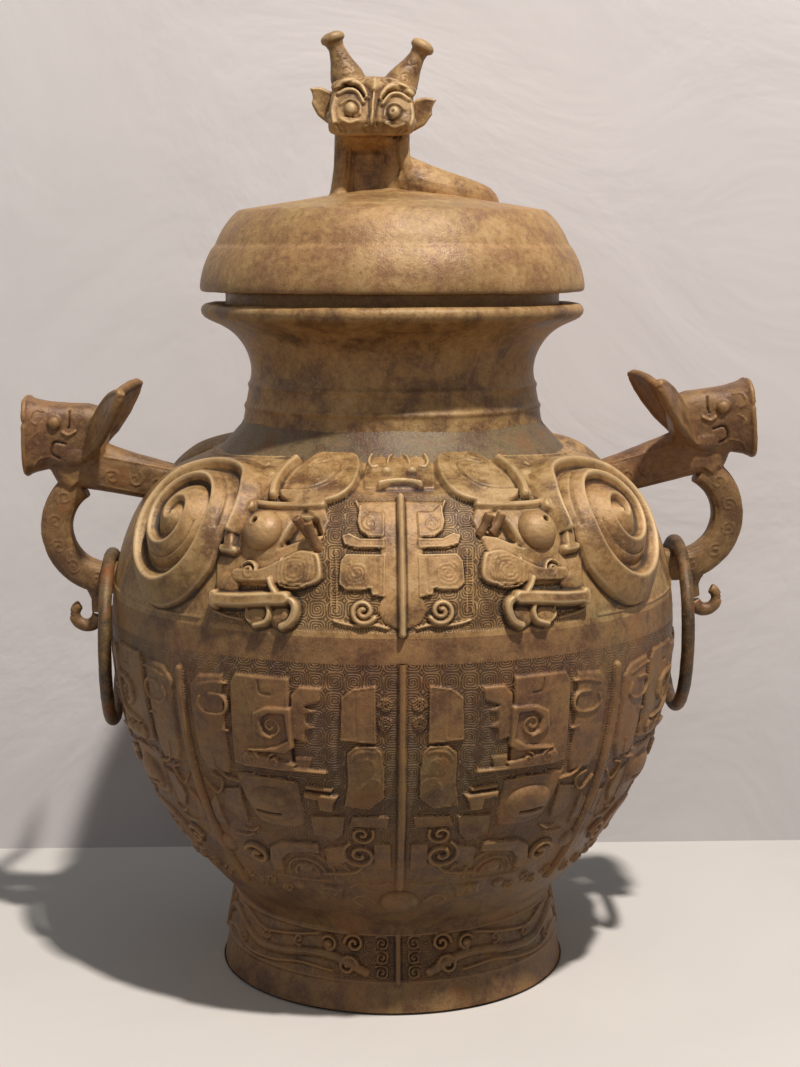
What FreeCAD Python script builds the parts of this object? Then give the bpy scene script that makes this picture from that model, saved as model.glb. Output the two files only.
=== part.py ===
"""Lidded bronze wine jar (lei) on a ring foot, in millimetres.

The origin is the middle of the foot's underside, +Z is up and the mask side faces -Y.
Azimuths are degrees about Z, 0 at the front and positive towards +X.
"""
import FreeCAD, Part
import math
import os
import Sketcher
from FreeCAD import Placement, Rotation, Vector

# Name, value and meaning of every driving size
SIZES = [
    ("foot_radius", 83.8, "ring foot at the ground"),
    ("foot_height", 37.0, "ground to the crease under the belly"),
    ("foot_waist_radius", 77.0, "crease under the belly"),
    ("foot_wall", 5.0, "ring foot wall"),
    ("foot_border", 13.0, "plain lower border of the foot"),
    ("foot_border_step", 0.8, "how far that border stands proud"),
    ("foot_bead", 3.0, "raised bead above the foot's relief band"),
    ("belly_radius", 135.6, "widest outside radius"),
    ("belly_height", 173.0, "height of the widest place"),
    ("belly_start_radius", 80.5, "where the belly leaves the crease"),
    ("belly_start_height", 42.5, "height of that place"),
    ("shoulder_bend", 115.0, "arc radius above the widest place"),
    ("shoulder_break", 220.0, "height where the shoulder turns in"),
    ("shoulder_turn", 60.0, "arc radius of that turn"),
    ("shoulder_top", 244.0, "height where the slope to the neck starts"),
    ("wall", 4.0, "cast wall of belly, neck and lid"),
    ("floor_height", 38.0, "inside floor"),
    ("neck_foot_radius", 78.5, "neck where it meets the shoulder"),
    ("neck_foot_height", 256.0, "height of that corner"),
    ("neck_low_radius", 72.0, "neck above its foot"),
    ("neck_low_height", 264.5, "height of that place"),
    ("neck_radius", 67.6, "narrowest place of the neck"),
    ("neck_height", 290.0, "height of the narrowest place"),
    ("flare_bend", 24.9, "arc radius of the flaring mouth"),
    ("flare_top", 312.6, "height where the flare meets the lip"),
    ("string_width", 2.2, "each raised string on the neck"),
    ("string_proud", 1.1, "how far a string stands out"),
    ("string_low", 271.0, "height of the lower string"),
    ("string_high", 282.0, "height of the upper string"),
    ("lip_radius", 91.5, "flat lip"),
    ("lip_under", 316.3, "underside of the lip"),
    ("lip_top", 323.0, "top of the lip"),
    ("mouth_radius", 83.0, "inner edge of the lip"),
    ("seat_radius", 81.0, "top of the conical seat in the mouth"),
    ("seat_drop", 2.5, "lip top down to the seat"),
    ("seat_height", 10.0, "height of the seat"),
    ("ridge_count", 8, "upright ridges round the lower belly"),
    ("ridge_angle", 2.6, "width of a ridge in degrees"),
    ("ridge_proud", 2.6, "height of a ridge above the ground"),
    ("panel_angle", 36.0, "width of a raised panel in degrees"),
    ("panel_proud", 1.3, "height of a panel above the ground"),
    ("panel_low", 63.0, "lower edge of the panels"),
    ("panel_high", 170.0, "upper edge of the panels"),
    ("ledge_low", 181.0, "lower edge of the ledge under the mask band"),
    ("ledge_high", 187.0, "upper edge of that ledge"),
    ("ledge_proud", 1.0, "how far the ledge stands out"),
    ("shield_angle", 24.0, "nose shield of each mask in degrees"),
    ("shield_proud", 1.6, "height of the shield"),
    ("nose_angle", 2.4, "nose ridge in degrees"),
    ("nose_proud", 4.2, "height of the nose ridge"),
    ("mask_low", 189.0, "lower edge of the masks"),
    ("mask_high", 241.0, "upper edge of the masks"),
    ("horn_block_azimuth", 26.2, "squared horns of the belly masks from a nose ridge"),
    ("horn_block_angle", 12.6, "their width in degrees"),
    ("horn_block_low", 127.0, "their lower edge"),
    ("horn_block_high", 168.0, "their upper edge"),
    ("horn_block_proud", 3.2, "their height above the ground"),
    ("belly_eye_azimuth", 26.3, "eyes of the belly masks from a nose ridge"),
    ("belly_eye_level", 109.5, "height of those eyes"),
    ("belly_eye_wide", 11.6, "half their width"),
    ("belly_eye_tall", 8.8, "half their height"),
    ("belly_eye_proud", 4.6, "how far they stand out"),
    ("brow_azimuth", 19.4, "brows of the shoulder masks from the nose ridge"),
    ("brow_level", 249.4, "height of a brow's middle"),
    ("brow_lean", 62.0, "degrees a brow faces upwards"),
    ("brow_wide", 15.5, "half the width of a brow"),
    ("brow_tall", 17.5, "half its length up the slope"),
    ("brow_proud", 3.6, "how far a brow stands out"),
    ("jaw_azimuth", 28.2, "jaws of the shoulder masks from the nose ridge"),
    ("jaw_angle", 16.0, "width of a jaw in degrees"),
    ("jaw_low", 194.8, "lower edge of a jaw"),
    ("jaw_high", 202.0, "upper edge of a jaw"),
    ("jaw_proud", 4.8, "how far a jaw stands out"),
    ("small_lip_level", 246.0, "lip of the small mask over the nose"),
    ("small_lip_wide", 8.5, "half its width"),
    ("small_lip_tall", 3.4, "half its height"),
    ("small_lip_proud", 4.2, "how far it stands out"),
    ("sunk", 1.5, "how deep raised work is rooted in the wall"),
    ("boss_radius", 7.0, "round boss under each middle ridge"),
    ("boss_height", 59.5, "height of those bosses"),
    ("boss_proud", 3.6, "how far they stand out"),
    ("horn_azimuth", 52.0, "coiled horns either side of a mask"),
    ("horn_height", 221.0, "height of a coiled horn's middle"),
    ("horn_lean", 28.0, "degrees a coiled horn faces upwards"),
    ("horn_eye", 3.2, "inner radius of the coil"),
    ("horn_step", 8.2, "growth of the coil in half a turn"),
    ("horn_band", 12.6, "width of the coiled band"),
    ("horn_proud", 9.0, "height of the coiled band"),
    ("eye_azimuth", 28.3, "eyeballs of a mask"),
    ("eye_height", 227.0, "height of the eyeballs"),
    ("eye_radius", 10.0, "eyeball"),
    ("eye_sink", 2.0, "eyeball middle below the shoulder's surface"),
    ("pupil_radius", 1.6, "hole in the eyeball"),
    ("pupil_depth", 3.0, "depth of that hole"),
    ("peg_azimuth", 19.0, "casting pegs inside the eyes"),
    ("peg_height", 232.0, "height of the pegs"),
    ("peg_radius", 2.6, "peg"),
    ("peg_length", 13.0, "length of a peg outside the wall"),
    ("peg_spread", 7.5, "distance between two pegs"),
    ("arm_root", 100.0, "inner end of a handle's arm from the axis"),
    ("arm_root_height", 234.5, "its middle there"),
    ("arm_root_depth", 18.5, "upright size of the arm at its root"),
    ("arm_root_width", 18.0, "sideways size of the arm at its root"),
    ("arm_end", 153.0, "outer end of the arm, under the head, from the axis"),
    ("arm_head_height", 247.5, "its middle there"),
    ("arm_head_depth", 25.0, "upright size there"),
    ("arm_head_width", 20.0, "sideways size there"),
    ("loop_axis", 137.0, "middle of the loop from the jar's axis"),
    ("loop_height", 215.0, "height of the loop's middle"),
    ("loop_radius", 25.0, "middle line of the loop"),
    ("loop_depth", 15.6, "loop section in the loop's plane"),
    ("loop_width", 15.0, "loop section across the plane"),
    ("loop_corner", 5.5, "rounding of the loop's section"),
    ("loop_opening", 105.0, "degrees of the loop's arc from its lowest place"),
    ("loop_rise", 25.0, "straight run of the loop up into the head"),
    ("spur_root", 151.0, "spur under the loop from the axis"),
    ("spur_reach", 149.2, "middle of the spur's curl from the axis"),
    ("spur_height", 172.6, "height of the curl's middle"),
    ("spur_curl", 6.4, "middle line of the curl"),
    ("spur_radius", 3.4, "thickness radius of the spur"),
    ("spur_curl_end", 205.0, "degrees from level where the curl ends"),
    ("head_back", 140.0, "back of a handle's head from the axis"),
    ("head_cheek", 158.0, "cheek of the head"),
    ("head_front", 176.0, "flat muzzle"),
    ("head_back_height", 255.5, "middle of the head at its back"),
    ("head_front_height", 259.5, "middle of the muzzle"),
    ("head_back_depth", 33.0, "upright size at the back"),
    ("head_cheek_depth", 31.0, "upright size at the cheek"),
    ("head_front_depth", 38.5, "upright size of the muzzle"),
    ("head_back_width", 23.0, "sideways size at the back"),
    ("head_cheek_width", 25.0, "sideways size at the cheek"),
    ("head_front_width", 33.0, "sideways size of the muzzle"),
    ("head_corner", 7.0, "rounding of the head's sections"),
    ("muzzle_rim", 3.5, "rim round the dished muzzle"),
    ("muzzle_dish", 3.0, "depth of the dish"),
    ("ear_reach", 36.0, "ear from the head to its tip"),
    ("ear_tall", 36.0, "height of an ear"),
    ("ear_thick", 4.6, "ear"),
    ("ear_sweep", 21.0, "degrees the ears sweep to the jar"),
    ("ear_tilt", 16.0, "degrees the ears lean to the jar"),
    ("ear_root", 147.0, "foot of an ear from the jar's axis"),
    ("ear_root_height", 249.5, "height of that foot"),
    ("ear_side", 9.0, "foot of an ear from the head's mid plane"),
    ("right_tilt", 4.5, "degrees the right handle stands steeper"),
    ("right_rise", 2.0, "how much higher it is cast"),
    ("ring_radius", 40.3, "middle line of a loose ring"),
    ("ring_wire", 3.25, "ring bar radius"),
    ("ring_play", 0.4, "ring above the bar it hangs on"),
    ("ring_offset", 136.3, "ring plane from the jar's axis"),
    ("ring_turn", 1.0, "degrees a ring is turned to the belly"),
    ("lid_radius", 91.4, "lid at its rim"),
    ("lid_gap", 4.7, "lip top to the lid's rim"),
    ("lid_skirt", 3.4, "straight rim of the lid"),
    ("lid_bend", 40.0, "arc radius of the lid's side"),
    ("lid_groove_radius", 84.6, "groove round the lid"),
    ("lid_groove_height", 349.0, "height of the groove"),
    ("lid_groove", 1.2, "depth of the groove"),
    ("lid_shoulder_radius", 73.2, "edge round the lid's top"),
    ("lid_shoulder_height", 365.3, "height of that edge"),
    ("lid_apex", 377.5, "tip of the lid's low cone"),
    ("collar_radius", 79.3, "lid's inner collar"),
    ("collar_wall", 3.6, "collar wall"),
    ("collar_reach", 7.5, "collar below the top of the seat"),
    ("seat_play", 0.3, "collar to seat"),
    ("coil_start", 6.0, "dragon's coil from the axis where it leaves the neck"),
    ("coil_end", 54.0, "tail tip from the axis"),
    ("coil_thick", 11.5, "radius of the coil at the neck"),
    ("coil_thin", 1.6, "radius of the coil at the tail"),
    ("coil_lift", 6.0, "how much higher the coil leaves the neck"),
    ("coil_turn", 185.0, "degrees the coil runs round the lid"),
    ("coil_first", 62.0, "azimuth where the coil starts"),
    ("dragon_side", -9.5, "dragon's middle from the jar's mid plane"),
    ("neck_base_width", 44.0, "dragon's neck at the lid"),
    ("neck_base_depth", 30.0, "the same, front to back"),
    ("neck_top_width", 36.0, "dragon's neck under the head"),
    ("neck_top_depth", 23.0, "the same, front to back"),
    ("neck_base_level", 366.0, "foot of the neck, inside the lid's skin"),
    ("neck_top_level", 404.0, "top of the neck, inside the head"),
    ("neck_corner", 7.0, "rounding of the neck"),
    ("face_front", 23.0, "lip of the muzzle in front of the axis"),
    ("face_brow", 6.0, "brow in front of the axis"),
    ("face_back", 13.0, "back of the dragon's head behind the axis"),
    ("face_width", 40.0, "dragon's head, side to side"),
    ("face_nape_width", 30.0, "the same at the back"),
    ("face_chin_level", 398.5, "lower edge of the muzzle"),
    ("face_lip", 9.0, "muzzle's edge, upright"),
    ("face_crown_level", 428.0, "top of the forehead"),
    ("face_nape", 24.0, "head's upright size at the back"),
    ("face_roll", 5.0, "degrees the dragon's head is rolled"),
    ("face_middle_level", 413.0, "height of the head's middle"),
    ("face_corner", 4.0, "rounding of the head's sections"),
    ("bottle_base", 8.0, "foot radius of a bottle horn"),
    ("bottle_neck", 3.5, "neck radius of a bottle horn"),
    ("bottle_cap", 5.8, "cap radius of a bottle horn"),
    ("bottle_tall", 27.0, "length of a bottle horn"),
    ("bottle_cap_tall", 4.6, "its cap"),
    ("bottle_lean", 25.5, "degrees a bottle horn leans out"),
    ("bottle_side", 10.9, "foot of a bottle horn from the head's middle"),
    ("bottle_level", 422.0, "height of that foot"),
    ("leaf_reach", 13.2, "dragon's ear"),
    ("leaf_tall", 15.0, "its height"),
    ("leaf_thick", 3.0, "its thickness"),
    ("leaf_side", 16.0, "its foot from the head's middle"),
    ("leaf_level", 405.0, "height of that foot"),
    ("tip_radius", 17.0, "middle line of the rear tipping handle"),
    ("tip_height", 103.0, "height of its middle"),
    ("tip_offset", 118.0, "its middle behind the axis"),
    ("tip_bar", 5.5, "bar radius of that handle"),
    ("tip_head_width", 26.0, "beast head on it, side to side"),
    ("tip_head_depth", 20.0, "the same, upright"),
    ("tip_head_reach", 22.0, "how far that head stands out"),
    ("tip_head_height", 124.0, "height of the head's middle"),
]


class Size:
    """A number read from the sheet, with the text that ties a property to it."""

    def __init__(self, number, text):
        self.number = number
        self.text = text

    def __add__(self, other):
        other = sized(other)
        return Size(self.number + other.number, f"({self.text} + {other.text})")

    def __radd__(self, other):
        return sized(other) + self

    def __sub__(self, other):
        other = sized(other)
        return Size(self.number - other.number, f"({self.text} - {other.text})")

    def __rsub__(self, other):
        return sized(other) - self

    def __mul__(self, other):
        other = sized(other)
        return Size(self.number * other.number, f"({self.text} * {other.text})")

    def __rmul__(self, other):
        return sized(other) * self

    def __truediv__(self, other):
        other = sized(other)
        return Size(self.number / other.number, f"({self.text} / {other.text})")

    def __neg__(self):
        return Size(-self.number, f"(0 - {self.text})")

    def __float__(self):
        return float(self.number)


def sized(value):
    """A plain number as a Size, or the Size itself."""
    return value if isinstance(value, Size) else Size(float(value), repr(float(value)))


def root(value):
    return Size(math.sqrt(value.number), f"sqrt({value.text})")


doc = FreeCAD.newDocument("lei")
sheet = doc.addObject("Spreadsheet::Sheet", "Sizes")
for row, (alias, value, meaning) in enumerate(SIZES, start=1):
    sheet.set(f"A{row}", meaning)
    sheet.set(f"B{row}", str(value))
    sheet.setAlias(f"B{row}", alias)
doc.recompute()


def size(alias):
    return Size(float(sheet.get(alias)), f"Sizes.{alias}")


def bind(thing, **properties):
    """Sets each property and ties it to the sheet."""
    for name, value in properties.items():
        setattr(thing, name, float(value))
        thing.setExpression(name, value.text)


# Outlines


def pin(sketch, geometry, position, x, y):
    """Holds a corner of an outline at its two sizes."""
    for value, kind, axis in ((sized(x), "DistanceX", -2), (sized(y), "DistanceY", -1)):
        if value.number == 0.0 and "Sizes" not in value.text:
            sketch.addConstraint(Sketcher.Constraint("PointOnObject", geometry, position, axis))
            continue
        index = sketch.addConstraint(Sketcher.Constraint(kind, geometry, position, value.number))
        sketch.setExpression(f"Constraints[{index}]", value.text)


def arc_between(start, end, radius, turn):
    """The short arc from start to end: turn is 1 for counterclockwise, -1 for clockwise."""
    first, last = Vector(*map(float, start), 0), Vector(*map(float, end), 0)
    half = (last - first) * 0.5
    radius = half.Length if radius is None else float(radius)
    reach = math.sqrt(max(radius ** 2 - half.Length ** 2, 0.0))
    left = Vector(-half.y, half.x, 0).normalize()
    centre = first + half + left * (reach * turn)
    middle = centre - left * (radius * turn)
    return Part.Arc(first, middle, last)


def draw(sketch, corners, closed=True):
    """Draws an outline. A corner is (x, y), or (x, y, radius, turn) to be reached by an arc.

    An arc with no radius is a half circle whose middle lies on the sketch's level axis.
    """
    ends = []
    count = len(corners)
    for i in range(count if closed else count - 1):
        start, target = corners[i], corners[(i + 1) % count]
        if len(target) == 2:
            line = Part.LineSegment(Vector(*map(float, start[:2]), 0), Vector(*map(float, target), 0))
            index = sketch.addGeometry(line)
            ends.append((index, 1, 2))
            continue
        x, y, radius, turn = target
        index = sketch.addGeometry(arc_between(start[:2], (x, y), radius, turn))
        if radius is None:
            sketch.addConstraint(Sketcher.Constraint("PointOnObject", index, 3, -1))
        else:
            bend = sketch.addConstraint(Sketcher.Constraint("Radius", index, float(radius)))
            sketch.setExpression(f"Constraints[{bend}]", sized(radius).text)
        ends.append((index, 1, 2) if turn > 0 else (index, 2, 1))
    for i, (index, near, far) in enumerate(ends):
        pin(sketch, index, near, *corners[i][:2])
        if closed or i + 1 < len(ends):
            after, after_near, _ = ends[(i + 1) % len(ends)]
            sketch.addConstraint(Sketcher.Constraint("Coincident", index, far, after, after_near))
        else:
            pin(sketch, index, far, *corners[i + 1][:2])
    doc.recompute()


def new_body(label):
    body = doc.addObject("PartDesign::Body", label)
    body.Label = label
    return body


def sketch_on(body, plane, name, offset=None):
    """An empty sketch on one of the body's own origin planes, moved along the plane's normal."""
    sketch = body.newObject("Sketcher::SketchObject", name)
    base = [item for item in body.Origin.OriginFeatures if item.Role == plane]
    sketch.AttachmentSupport = [(base[0], "")]
    sketch.MapMode = "FlatFace"
    if offset is not None:
        sketch.AttachmentOffset = Placement(Vector(0, 0, float(offset)), Rotation())
        sketch.setExpression("AttachmentOffset.Base.z", sized(offset).text)
    return sketch


def revolve(body, sketch, angle=None):
    """Turns an outline about the upright axis: all the way round, or a sector about its plane."""
    turned = body.newObject("PartDesign::Revolution", f"{sketch.Name}_turned")
    turned.Profile = sketch
    turned.ReferenceAxis = (sketch, ["V_Axis"])
    if angle is None:
        turned.Angle = 360.0
    else:
        turned.Midplane = True
        bind(turned, Angle=angle)
    doc.recompute()
    sketch.Visibility = False
    return turned


def ring_pattern(body, feature, count):
    """Repeats a feature evenly round the upright axis."""
    pattern = body.newObject("PartDesign::PolarPattern", f"{feature.Name}_pattern")
    pattern.Originals = [feature]
    axis = [item for item in body.Origin.OriginFeatures if item.Role == "Z_Axis"]
    pattern.Axis = (axis[0], [""])
    pattern.Angle = 360.0
    pattern.Occurrences = int(float(count))
    if isinstance(count, Size):
        pattern.setExpression("Occurrences", count.text)
    body.Tip = pattern
    doc.recompute()
    return pattern


def rounded_section(sketch, x, y, width, tall, corner):
    """A rectangle with rounded corners about (x, y)."""
    x, y = sized(x), sized(y)
    west, east = x - width / 2, x + width / 2
    south, north = y - tall / 2, y + tall / 2
    draw(sketch, [
        (west, south + corner),
        (west + corner, south, corner, 1),
        (east - corner, south),
        (east, south + corner, corner, 1),
        (east, north - corner),
        (east - corner, north, corner, 1),
        (west + corner, north),
        (west, north - corner, corner, 1),
    ])
    sketch.Visibility = False


def loft(body, name, sections):
    lofted = body.newObject("PartDesign::AdditiveLoft", name)
    lofted.Profile = sections[0]
    lofted.Sections = sections[1:]
    doc.recompute()
    return lofted


def pipe(body, name, section, path):
    swept = body.newObject("PartDesign::AdditivePipe", name)
    swept.Profile = section
    swept.Spine = (path, [f"Edge{i + 1}" for i in range(path.GeometryCount)])
    swept.Transition = "Round corner"
    doc.recompute()
    section.Visibility = False
    path.Visibility = False
    return swept


def cut(label, base, *tools):
    """What is left of a piece outside the pieces that carry it."""
    for i, tool in enumerate(tools):
        last = i == len(tools) - 1
        piece = doc.addObject("Part::Cut", label if last else f"{label}_cut_{i + 1}")
        piece.Base = base
        piece.Tool = tool
        piece.Label = label if last else f"{label} cut {i + 1}"
        doc.recompute()
        base = piece
    return base


# Belly and shoulder surface

belly_radius, belly_height = size("belly_radius"), size("belly_height")
shoulder_bend, shoulder_break = size("shoulder_bend"), size("shoulder_break")
shoulder_turn, shoulder_top = size("shoulder_turn"), size("shoulder_top")
wall = size("wall")
start_drop = belly_height - size("belly_start_height")
start_inset = belly_radius - size("belly_start_radius")
belly_bend = (start_drop * start_drop + start_inset * start_inset) / (2 * start_inset)


def arc_point(centre_x, centre_z, bend, z, lift):
    """The point of an arc at height z, moved out of the wall by lift."""
    rise = (z - centre_z) / bend
    run = root(1 - rise * rise)
    return centre_x + (bend + lift) * run, centre_z + (bend + lift) * rise


def belly_point(z, lift):
    return arc_point(belly_radius - belly_bend, belly_height, belly_bend, sized(z), lift)


def shoulder_point(z, lift):
    return arc_point(belly_radius - shoulder_bend, belly_height, shoulder_bend, sized(z), lift)


break_x, break_z = shoulder_point(shoulder_break, sized(0))
turn_x = break_x - (break_x - (belly_radius - shoulder_bend)) * shoulder_turn / shoulder_bend
turn_z = break_z - (break_z - belly_height) * shoulder_turn / shoulder_bend


def turn_point(z, lift):
    return arc_point(turn_x, turn_z, shoulder_turn, sized(z), lift)


def surface_radius(z):
    """Outside radius of the bare belly or shoulder at height z, as a number."""
    if z <= float(belly_height):
        return float(belly_point(z, sized(0))[0])
    if z <= float(shoulder_break):
        return float(shoulder_point(z, sized(0))[0])
    return float(turn_point(z, sized(0))[0])


def surface_frame(azimuth, z, lean, lift=0.0):
    """A Placement on the surface whose +Z points outwards, raised by lean degrees."""
    turn = Rotation(Vector(0, 0, 1), azimuth)
    outwards = Rotation(Vector(1, 0, 0), 90 - lean)
    spot = turn.multVec(Vector(0, -surface_radius(z), z))
    frame = Placement(spot, turn.multiply(outwards))
    return frame.multiply(Placement(Vector(0, 0, lift), Rotation()))


def outside_profile(lift):
    """Corners of the outside from the foot to the mouth, lifted from the bare wall by lift."""
    foot_radius, foot_height = size("foot_radius"), size("foot_height")
    border, step, bead = size("foot_border"), size("foot_border_step"), size("foot_bead")
    waist, ledge = size("foot_waist_radius"), size("ledge_proud")
    low, high, string = size("string_low"), size("string_high"), size("string_width")
    proud = size("string_proud")
    neck, neck_height = size("neck_radius"), size("neck_height")
    neck_low, neck_low_height = size("neck_low_radius"), size("neck_low_height")
    slope = (neck_low - neck) / (neck_height - neck_low_height)

    def foot_side(z):
        return foot_radius - (foot_radius - waist) * z / foot_height

    def neck_side(z):
        return neck + slope * (neck_height - z) + lift

    flare_bend, flare_top = size("flare_bend"), size("flare_top")
    flare_rise = (flare_top - neck_height) / flare_bend
    flare_radius = neck + flare_bend - (flare_bend - lift) * root(1 - flare_rise * flare_rise)
    ledge_low, ledge_high = size("ledge_low"), size("ledge_high")
    widest = (belly_radius + lift, belly_height, belly_bend + lift, 1)
    corners = [
        (foot_radius + lift, sized(0)),
        (foot_side(border) + lift, border),
        (foot_side(border) - step + lift, border + step),
        (foot_side(foot_height - bead) - step + lift, foot_height - bead - step),
        (foot_side(foot_height - bead) + lift, foot_height - bead),
        (waist + lift, foot_height),
        (size("belly_start_radius") + lift, size("belly_start_height")),
        widest,
    ]
    if lift.number == 0.0:
        corners += [
            (*shoulder_point(ledge_low, lift), shoulder_bend, 1),
            shoulder_point(ledge_low + ledge / 2, ledge),
            (*shoulder_point(ledge_high - ledge / 2, ledge), shoulder_bend + ledge, 1),
            shoulder_point(ledge_high, lift),
        ]
    corners += [
        (*shoulder_point(shoulder_break, lift), shoulder_bend + lift, 1),
        (*turn_point(shoulder_top, lift), shoulder_turn + lift, 1),
        (size("neck_foot_radius") + lift, size("neck_foot_height") + lift),
        (neck_side(neck_low_height), neck_low_height + lift),
    ]
    for z in (low, high):
        corners += [
            (neck_side(z - string / 2), z - string / 2),
            (neck_side(z - string / 4) + proud, z - string / 4),
            (neck_side(z + string / 4) + proud, z + string / 4),
            (neck_side(z + string / 2), z + string / 2),
        ]
    corners += [
        (neck + lift, neck_height),
        (flare_radius, neck_height + (flare_bend - lift) * flare_rise, flare_bend - lift, -1),
        (size("lip_radius") + lift, size("lip_under")),
        (size("lip_radius") + lift, size("lip_top")),
    ]
    return corners


seat_x, seat_z = size("seat_radius"), size("lip_top") - size("seat_drop")
seat_foot_z = seat_z - size("seat_height")
inner_bend = size("flare_bend") + wall
seat_rise = (seat_foot_z - size("neck_height")) / inner_bend
seat_foot_x = size("neck_radius") + size("flare_bend") - inner_bend * root(1 - seat_rise * seat_rise)


def inside_profile():
    """Corners of the inside, from the mouth down to the middle of the floor."""
    inwards = -wall
    turn = turn_point(shoulder_top, inwards)
    break_inside = shoulder_point(shoulder_break, inwards)
    floor_x = belly_point(size("floor_height") + 2 * wall, inwards)[0]
    return [
        (size("mouth_radius"), size("lip_top")),
        (seat_x, seat_z),
        (seat_foot_x, seat_foot_z),
        (size("neck_radius") - wall, size("neck_height"), inner_bend, 1),
        (size("neck_low_radius") - wall, size("neck_low_height")),
        (size("neck_foot_radius") - wall, size("neck_foot_height") - wall / 2),
        turn,
        (*break_inside, shoulder_turn - wall, -1),
        (belly_radius - wall, belly_height, shoulder_bend - wall, -1),
        (floor_x, size("floor_height") + 2 * wall, belly_bend - wall, -1),
        (floor_x - 2 * wall, size("floor_height")),
        (sized(0), size("floor_height")),
    ]


def vessel_outline():
    """The whole half section: outside, inside, floor and the hollow of the foot."""
    hollow = size("foot_waist_radius") - size("foot_wall")
    floor_under = size("floor_height") - wall
    return outside_profile(sized(0)) + inside_profile() + [
        (sized(0), floor_under),
        (hollow - wall, floor_under),
        (hollow, floor_under - wall),
        (size("foot_radius") - size("foot_wall"), sized(0)),
    ]


def band(z_low, z_high, proud):
    """Corners of a strip of the wall's section, from inside the metal to proud of it."""
    deep = -size("sunk")
    below = z_high.number <= belly_height.number
    point = belly_point if below else shoulder_point
    bend = belly_bend if below else shoulder_bend
    crosses = z_high.number > shoulder_break.number
    outer = [point(z_low, proud)]
    inner = [(*point(z_low, deep), bend + deep, -1)]
    if crosses:
        outer.append((*shoulder_point(shoulder_break, proud), bend + proud, 1))
        outer.append((*turn_point(z_high, proud), shoulder_turn + proud, 1))
        inner.insert(0, (*shoulder_point(shoulder_break, deep), shoulder_turn + deep, -1))
        inner.insert(0, turn_point(z_high, deep))
    else:
        outer.append((*point(z_high, proud), bend + proud, 1))
        inner.insert(0, point(z_high, deep))
    return outer + inner


def solid_of_outside(label, lift):
    """The jar as if cast solid, to trim pieces that are cast on to it."""
    body = new_body(label)
    sketch = sketch_on(body, "XZ_Plane", f"{label}_outline")
    top = size("lip_top")
    draw(sketch, outside_profile(lift) + [(sized(0), top), (sized(0), sized(0))])
    revolve(body, sketch)
    return body


def vessel():
    """Foot, belly, shoulder, neck and lip in one casting, with its ridges, panels and masks."""
    body = new_body("vessel_body")
    outline = sketch_on(body, "XZ_Plane", "vessel_outline")
    draw(outline, vessel_outline())
    revolve(body, outline)

    ridge = sketch_on(body, "XZ_Plane", "ridge_outline")
    draw(ridge, band(size("panel_low"), size("panel_high"), size("ridge_proud")))
    ring_pattern(body, revolve(body, ridge, size("ridge_angle")), size("ridge_count"))

    # The panels lie between the ridges, half a step round from them
    panel = sketch_on(body, "XZ_Plane", "panel_outline")
    turned = Rotation(Vector(0, 1, 0), 180.0 / size("ridge_count").number)
    panel.AttachmentOffset = Placement(Vector(0, 0, 0), turned)
    panel.setExpression("AttachmentOffset.Rotation.Angle", "180 / Sizes.ridge_count")
    draw(panel, band(size("panel_low") + 6, size("panel_high"), size("panel_proud")))
    ring_pattern(body, revolve(body, panel, size("panel_angle")), size("ridge_count"))

    # A smooth round boss ends the front, side and rear ridges above the foot
    boss = body.newObject("PartDesign::AdditiveEllipsoid", "lower_boss")
    bind(boss, Radius1=size("boss_proud") + 1, Radius2=size("boss_radius"), Radius3=size("boss_radius"))
    boss.Angle1 = 0
    boss.Placement = surface_frame(0.0, size("boss_height").number, -35.0, -1.0)
    doc.recompute()
    ring_pattern(body, boss, 4)

    # Masks at the front and the back
    for name, angle, proud in (
        ("shield", size("shield_angle"), size("shield_proud")),
        ("nose", size("nose_angle"), size("nose_proud")),
    ):
        sketch = sketch_on(body, "YZ_Plane", f"{name}_outline")
        draw(sketch, band(size("mask_low"), size("mask_high"), proud))
        ring_pattern(body, revolve(body, sketch, angle), 2)
    for side, hand in (("left", -1), ("right", 1)):
        raised_strip(body, "horn_block", side, hand, 4)
        raised_strip(body, "jaw", side, hand, 2)
        raised_oval(body, "belly_eye", side, hand, 4, 0.0)
        raised_oval(body, "brow", side, hand, 2, size("brow_lean").number)
    raised_oval(body, "small_lip", "middle", 0, 2, 40.0)
    return body


def raised_strip(body, name, side, hand, count):
    """A squared form of the masks on one side of each nose ridge."""
    sketch = sketch_on(body, "YZ_Plane", f"{name}_{side}_outline")
    azimuth = size(f"{name}_azimuth")
    sketch.AttachmentOffset = Placement(Vector(0, 0, 0), Rotation(Vector(0, hand, 0), azimuth.number))
    sketch.setExpression("AttachmentOffset.Rotation.Angle", azimuth.text)
    draw(sketch, band(size(f"{name}_low"), size(f"{name}_high"), size(f"{name}_proud")))
    ring_pattern(body, revolve(body, sketch, size(f"{name}_angle")), count)


def raised_oval(body, name, side, hand, count, lean):
    """A rounded form of the masks on one side of each nose ridge."""
    oval = body.newObject("PartDesign::AdditiveEllipsoid", f"{name}_{side}")
    rooted = 1.0
    bind(
        oval,
        Radius1=size(f"{name}_proud") + rooted,
        Radius2=size(f"{name}_wide"),
        Radius3=size(f"{name}_tall"),
    )
    oval.Angle1 = 0
    azimuth = hand * size(f"{name}_azimuth").number if hand else 0.0
    oval.Placement = surface_frame(azimuth, size(f"{name}_level").number, lean, -rooted)
    doc.recompute()
    ring_pattern(body, oval, count)


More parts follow.
